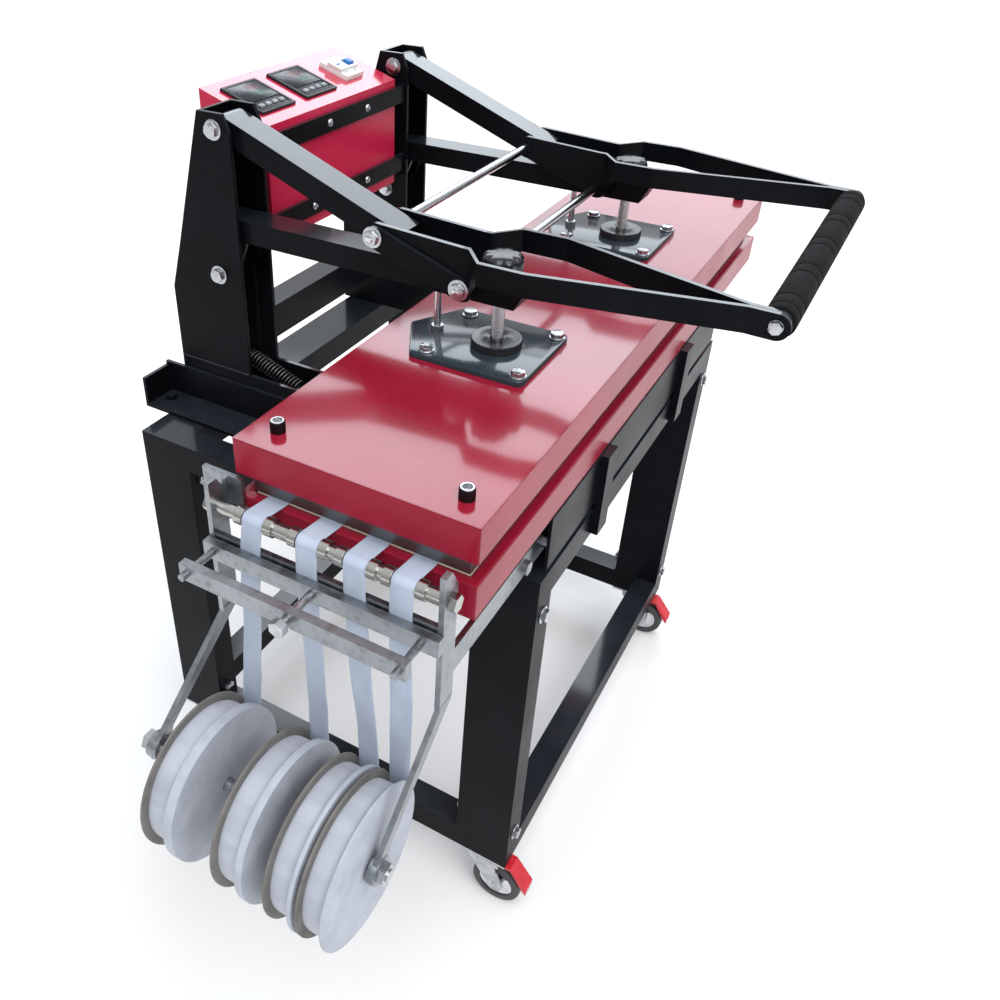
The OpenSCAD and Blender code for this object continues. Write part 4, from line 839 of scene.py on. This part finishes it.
def make_cap_screws():
    """Socket screws at the cover's corners: a knurled head, and the bright rim of its socket."""
    def knurl(a, along, rad):
        if rad > 7.6 and TOP + 2 < along < TOP + 11:
            return along, rad - 0.35 * abs(math.sin(a * 20))
        return along, rad

    head = [(0, 0.3), (0, 8), (2.5, 8), (10.5, 8), (12.2, 7.7), (13, 6.6), (13, 4.6), (12.4, 4.2), (7, 4.0),
            (7, 0.3)]
    socket = [(7.05, 0.3), (7.8, 0.3), (8.6, 3.2), (12.2, 4.0), (13.1, 4.9), (13.1, 6.9), (12.8, 7.1),
              (12.6, 4.9), (7.05, 4.1)]
    head, socket = ([(TOP + a, r) for a, r in prof] for prof in (head, socket))
    corners = [(x, y, 0) for x in (-479, 479) for y in (-106.5, 106.5)]
    for n, c in enumerate(corners, 1):
        ring_piece(f"cap_screw_{n}", head, c, "z", M["blacked"], "platen", 80, 30, knurl)
        ring_piece(f"cap_rim_{n}", socket, c, "z", M["zinc"], "platen", 48, 40)


def make_spindles():
    """Each head's threaded spindle with its knurled collar, guide rod and scalloped knob."""
    def knurl(a, along, rad):
        if rad > 28 and base + 0.8 < along < base + 9.2:
            d = abs(math.sin(a * 24 + along * 0.9)) * abs(math.sin(a * 24 - along * 0.9))
            return along, rad - 0.9 + 0.9 * d
        return along, rad

    def lobes(a, along, rad):
        if rad > 16:
            k = (math.cos(8 * a) + 1) / 2
            return along, rad - 2.2 * (1 - k) ** 2
        return along, rad

    base, bore, seat = PLATE_TOP, 8.1, TOP + 92.9
    rim_rows = [(base + 1 + 8 * k / 10, 30) for k in range(11)]
    collar = [(base, bore), (base, 29), *rim_rows, (base + 10, 29), (base + 10, 11), (base + 9.2, 10.2),
              (base + 9.2, bore)]
    # The knob closes over the spindle's end
    hood = ((0, bore), (0, 21.5), (1.2, 23.4), (4, 24.5), (13, 24.8), (19, 24.2), (22.6, 22.4), (24.6, 19.4),
            (25.4, 17), (25.9, 12), (26.1, 0.3), (21.8, 0.3), (21.8, bore))
    hood = [(seat + a, r) for a, r in hood]
    first = None
    for u, tag in HEADS:
        c, g = (u, SPINDLE_Y, 0), (u, GUIDE_Y, 0)
        o = stud(f"spindle_{tag}", c, "z", base, TOP + 114, 7.3, "platen", M["bright"], 1.8, 0.3)
        first = first or o
        ring_piece(f"collar_{tag}", collar, c, "z", M["glint"], "platen", 192, 50, knurl)
        rod(f"guide_rod_{tag}", g, "z", base, TOP + 93.4, 4.22, "platen", M["bright"])
        hex_head(f"guide_nut_{tag}", g, "z", base, 6, 8, "platen", M["zinc"], turn=0.2, hole=4.3)
        knob = ring_piece(f"knob_{tag}_lobed", hood, c, "z", M["knob"], f"knob_{tag}", 160, 50, lobes)
        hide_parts(f"pressure_knob_{tag}")
    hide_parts("spindles")


def spring_line(length):
    """Middle line of a return spring along its own axis: a hook, the coil and a second hook."""
    hook_a, hook_b, gap, r, turns = 4.6, 6.6, 3.0, 10.5, 16
    start = hook_a + gap
    coil = length - start - hook_b - gap
    pts = []
    for k in range(-10, 7):
        t = math.radians(15 * k)
        pts.append((0, hook_a * math.sin(t), -hook_a * math.cos(t)))
    for k in range(turns * 20 + 1):
        t = 2 * math.pi * k / 20 + math.pi / 2
        pts.append((r * math.cos(t), r * math.sin(t), start + coil * k / (turns * 20)))
    for k in range(6, 23):
        t = math.radians(15 * k)
        pts.append((0, hook_b * math.sin(t), length - hook_b * math.cos(t)))
    return pts


def wire(line, r):
    """Round wire of 8 sides along a line. Each ring of faces starts where it twists least."""
    m = 8
    aside = Vector((0.31, 0.52, 0.79))
    verts, faces = [], []
    for k, q in enumerate(line):
        t = (line[min(k + 1, len(line) - 1)] - line[max(k - 1, 0)]).normalized()
        n1 = t.cross(aside).normalized()
        n2 = t.cross(n1)
        for j in range(m):
            w = 2 * math.pi * j / m
            verts.append(P(*(q + r * (math.cos(w) * n1 + math.sin(w) * n2))))
    for k in range(len(line) - 1):
        near = [(verts[k * m] - verts[(k + 1) * m + j]).length for j in range(m)]
        shift = near.index(min(near))
        for j in range(m):
            c0, c1 = k * m + j, k * m + (j + 1) % m
            e0, e1 = (k + 1) * m + (j + shift) % m, (k + 1) * m + (j + 1 + shift) % m
            faces.append((c0, c1, e1, e0))
    return verts, faces + [tuple(range(m)), tuple(range(len(verts) - m, len(verts)))]


def make_springs():
    """Return springs from the arms' tail pins at a, which sink as the arms tilt, to the posts at b."""
    a, b = Vector((372, TOP - 111)), Vector((278, TOP - 144))
    d = b - a
    length = d.length
    d.normalize()
    up = Vector((-d.y, d.x))
    for s, (u, tag) in zip(SIDES, HEADS):
        line = [Vector((u - s * x, a.x + d.x * z + up.x * y, a.y + d.y * z + up.y * y))
                for x, y, z in spring_line(length)]
        o = piece(f"spring_{tag}", *wire(line, 1.3), M["spring"], "stand", 70)
        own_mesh(o)
        if u < 0:
            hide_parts("return_springs")


# Welds
def weld(n_weld, a, b, r):
    """A bead of overlapping ripples from a to b."""
    m = 8
    rng = random.Random(n_weld)
    a, b = Vector(a), Vector(b)
    d = b - a
    n = max(8, int(d.length / 1.6))
    t = d.normalized()
    n1 = t.orthogonal().normalized()
    n2 = t.cross(n1)
    verts = []
    for k in range(n + 1):
        q = a + d * (k / n)
        w = r * (0.78 + 0.22 * abs(math.sin(k * 0.9)) + 0.08 * rng.random())
        if k in (0, n):
            w *= 0.3
        for j in range(m):
            turn = 2 * math.pi * j / m
            verts.append(P(*(q + w * (math.cos(turn) * n1 + math.sin(turn) * n2))))
    piece(f"weld_{n_weld}", verts, skin(n + 1, m), M["black"], "stand", 60)


def make_welds():
    """At the columns' feet, and at the corners of the stand's frames."""
    foot, rails = 702, (135, 594)
    lines = []
    for s, (u, _) in zip(SIDES, HEADS):
        lines += [((u + e, 347, foot), (u + e, 464, foot), 2.4) for e in (-32, 32)]
        lines.append(((u - 30, 466, foot), (u + 30, 466, foot), 2.4))
        for y0, y1 in ((-137, -101), (454, 418)):
            lines += [((s * 305, y0, z), (s * 305, y1, z), 1.8) for z in rails]
        for y in (-59, 376):
            lines += [((s * 343.5, y, z), (s * 306.5, y, z), 1.8) for z in rails]
    for n, (a, b, r) in enumerate(lines, 1):
        weld(n, a, b, r)


# Control panel: its sloping lid rises from its front edge, u along X, v up the slope and w off the lid
LID = math.atan2(34, 106)
LID_Y, LID_Z = 355, TOP + 190
METERS = (-99, -2)
METER_V = 58
KEY_PITCH = 14
KEY_V = METER_V - 22
BREAKER = (92, 56)


def panel(u, v, w):
    cos, sin = math.cos(LID), math.sin(LID)
    return P(u, LID_Y + v * cos - w * sin, LID_Z + v * sin + w * cos)


def slab(name, cu, cv, wu, wv, r, w0, w1, e, material, body="stand"):
    """Rounded plate on the panel from w0 to w1 with its upper edge eased by e."""
    levels = eased(w0, w1, e)
    verts = []
    for inset, w in levels:
        pts = rounded(cu, cv, wu - 2 * inset, wv - 2 * inset, max(0.2, r - inset))
        verts += [panel(a, b, w) for a, b in pts]
    return piece(name, verts, skin(len(levels), len(verts) // len(levels)), material, body, 30)


def frame_ring(name, cu, cv, outer, inner, r, w0, w1, material):
    """A rounded frame with an open window. outer and inner are (wu, wv, shift along u)."""
    levels = [(outer, 0, w0), (outer, 0, w1 - 0.8), (outer, 0.5, w1 - 0.2), (outer, 1.0, w1),
              (inner, -0.8, w1), (inner, 0, w1 - 0.8), (inner, 0, w0)]
    verts = []
    for (wu, wv, du), inset, w in levels:
        verts += [panel(a + du, b, w) for a, b in rounded(cu, cv, wu - 2 * inset, wv - 2 * inset, r)]
    return piece(name, verts, skin(len(levels), len(verts) // len(levels), "joined"), material, "stand", 30)


SEGMENTS = {"0": "abcdef", "1": "bc", "6": "afgedc", "8": "abcdefg"}


def digit(name, cu, cv, h, text, w, material):
    """Seven-segment numbers lying on the panel."""
    verts, faces = [], []
    wide, t, pitch, relief = h * 0.55, h * 0.1, h * 0.85, 0.12
    bars = {"a": (0, h / 2, True), "g": (0, 0, True), "d": (0, -h / 2, True),
            "f": (-wide / 2, h / 4, False), "b": (wide / 2, h / 4, False),
            "e": (-wide / 2, -h / 4, False), "c": (wide / 2, -h / 4, False)}
    for k, number in enumerate(text):
        u0 = cu + (k - (len(text) - 1) / 2) * pitch
        for b in SEGMENTS[number]:
            bu, bv, level = bars[b]
            lu, lv = (wide * 0.42, t / 2) if level else (t / 2, h * 0.2)
            i = len(verts)
            for share, up in ((1, 0), (0.9, relief)):
                for du, dv in ((-lu, -lv), (lu, -lv), (lu, lv), (-lu, lv)):
                    verts.append(panel(u0 + bu + du * share, cv + bv + dv * share, w + up))
            faces += [(i + 4, i + 5, i + 6, i + 7)]
            faces += [(i + j, i + (j + 1) % 4, i + 4 + (j + 1) % 4, i + 4 + j) for j in range(4)]
    return piece(name, verts, faces, material, "stand")


def make_meters():
    """Two temperature and time controllers, and their keys, each key on its own body."""
    first = None
    v = METER_V
    for n, u in enumerate(METERS, 1):
        o = frame_ring(f"bezel_{n}", u, v, (72, 72, 0), (62, 62, 0), 2.0, 0.0, 3.6, M["meter"])
        first = first or o
        slab(f"face_{n}", u, v, 62.2, 62.2, 1, 0, 2.4, 0.3, M["meter"])
        slab(f"face_upper_{n}", u, v + 10, 61, 41, 1.2, 2.2, 3.4, 0.3, M["glass"])
        slab(f"face_lower_{n}", u, v - 29, 61, 3.5, 0.6, 2.2, 3.3, 0.3, M["meter"])
        digit(f"reading_{n}", u + 4, v + 20, 11, "180" if n == 1 else "060", 3.42, M["digit_red"])
        digit(f"setting_{n}", u + 7, v + 3, 8, "180" if n == 1 else "060", 3.42, M["digit_green"])
        for k in range(4):
            slab(f"key_rim_{n}_{k}", u + (k - 1.5) * KEY_PITCH, KEY_V, 11.0, 8.2, 1.2, 2.2, 3.5, 0.4,
                 M["meter_grey"])
    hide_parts("panel_instruments")
    for n in range(8):
        u = METERS[n // 4] + (n % 4 - 1.5) * KEY_PITCH
        o = slab(f"key_cap_{n + 1}", u, KEY_V, 9, 6.4, 1.6, 2.6, 5.0, 0.9, M["key"], f"key_{n + 1}")
        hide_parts(f"key_{n + 1}")


def make_breaker():
    u, v = BREAKER
    slab("breaker_base", u, v, 44, 50, 1.5, 0.0, 7.0, 0.8, M["white_plastic"])
    frame_ring("breaker_bridge", u, v, (44, 25, 0), (16.5, 16.5, 11), 1.2, 6.5, 12.0, M["white_plastic"])
    slab("breaker_bridge_left", u - 9, v, 22, 24, 1.0, 6.5, 11.9, 0.6, M["white_plastic"])
    for k, (du, dv) in enumerate(((-11, 18.5), (11, 18.5), (-11, -18.5), (11, -18.5))):
        slab(f"breaker_screw_{k}", u + du, v + dv, 8, 8, 3.9, 6.9, 7.5, 0.4, M["zinc"])
    slab("breaker_window", u - 12, v, 9, 4, 0.8, 11.8, 12.1, 0.1, M["blue"])
    o = slab("breaker_rocker", u + 11, v - 1.5, 13.6, 11, 1.8, 8.2, 15.5, 1.6, M["blue"], "toggle")
    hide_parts("breaker_toggle")


def ease_covers():
    """Folded and ground corners of the sheet-metal covers and box, as modifiers on the CAD nodes."""
    for name, width in (("upper_cover", 0.0035), ("lower_tray", 0.003), ("control_box", 0.002)):
        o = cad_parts[name]
        m = o.modifiers.new("ease", "BEVEL")
        m.width = width
        m.segments = 3
        m.limit_method = "ANGLE"
        m.angle_limit = math.radians(60)
        m.use_clamp_overlap = True


set_camera()
set_stage()
M = make_materials()
dress()
make_reels()
make_tapes()
make_grip()
make_pad()
make_plates()
make_lip()
make_domes()
make_washers()
make_wheels()
make_frame_bolts()
make_pivots()
make_shafts()
make_handle()
make_plate_bolts()
make_cap_screws()
make_spindles()
make_springs()
make_welds()
make_meters()
make_breaker()
ease_covers()
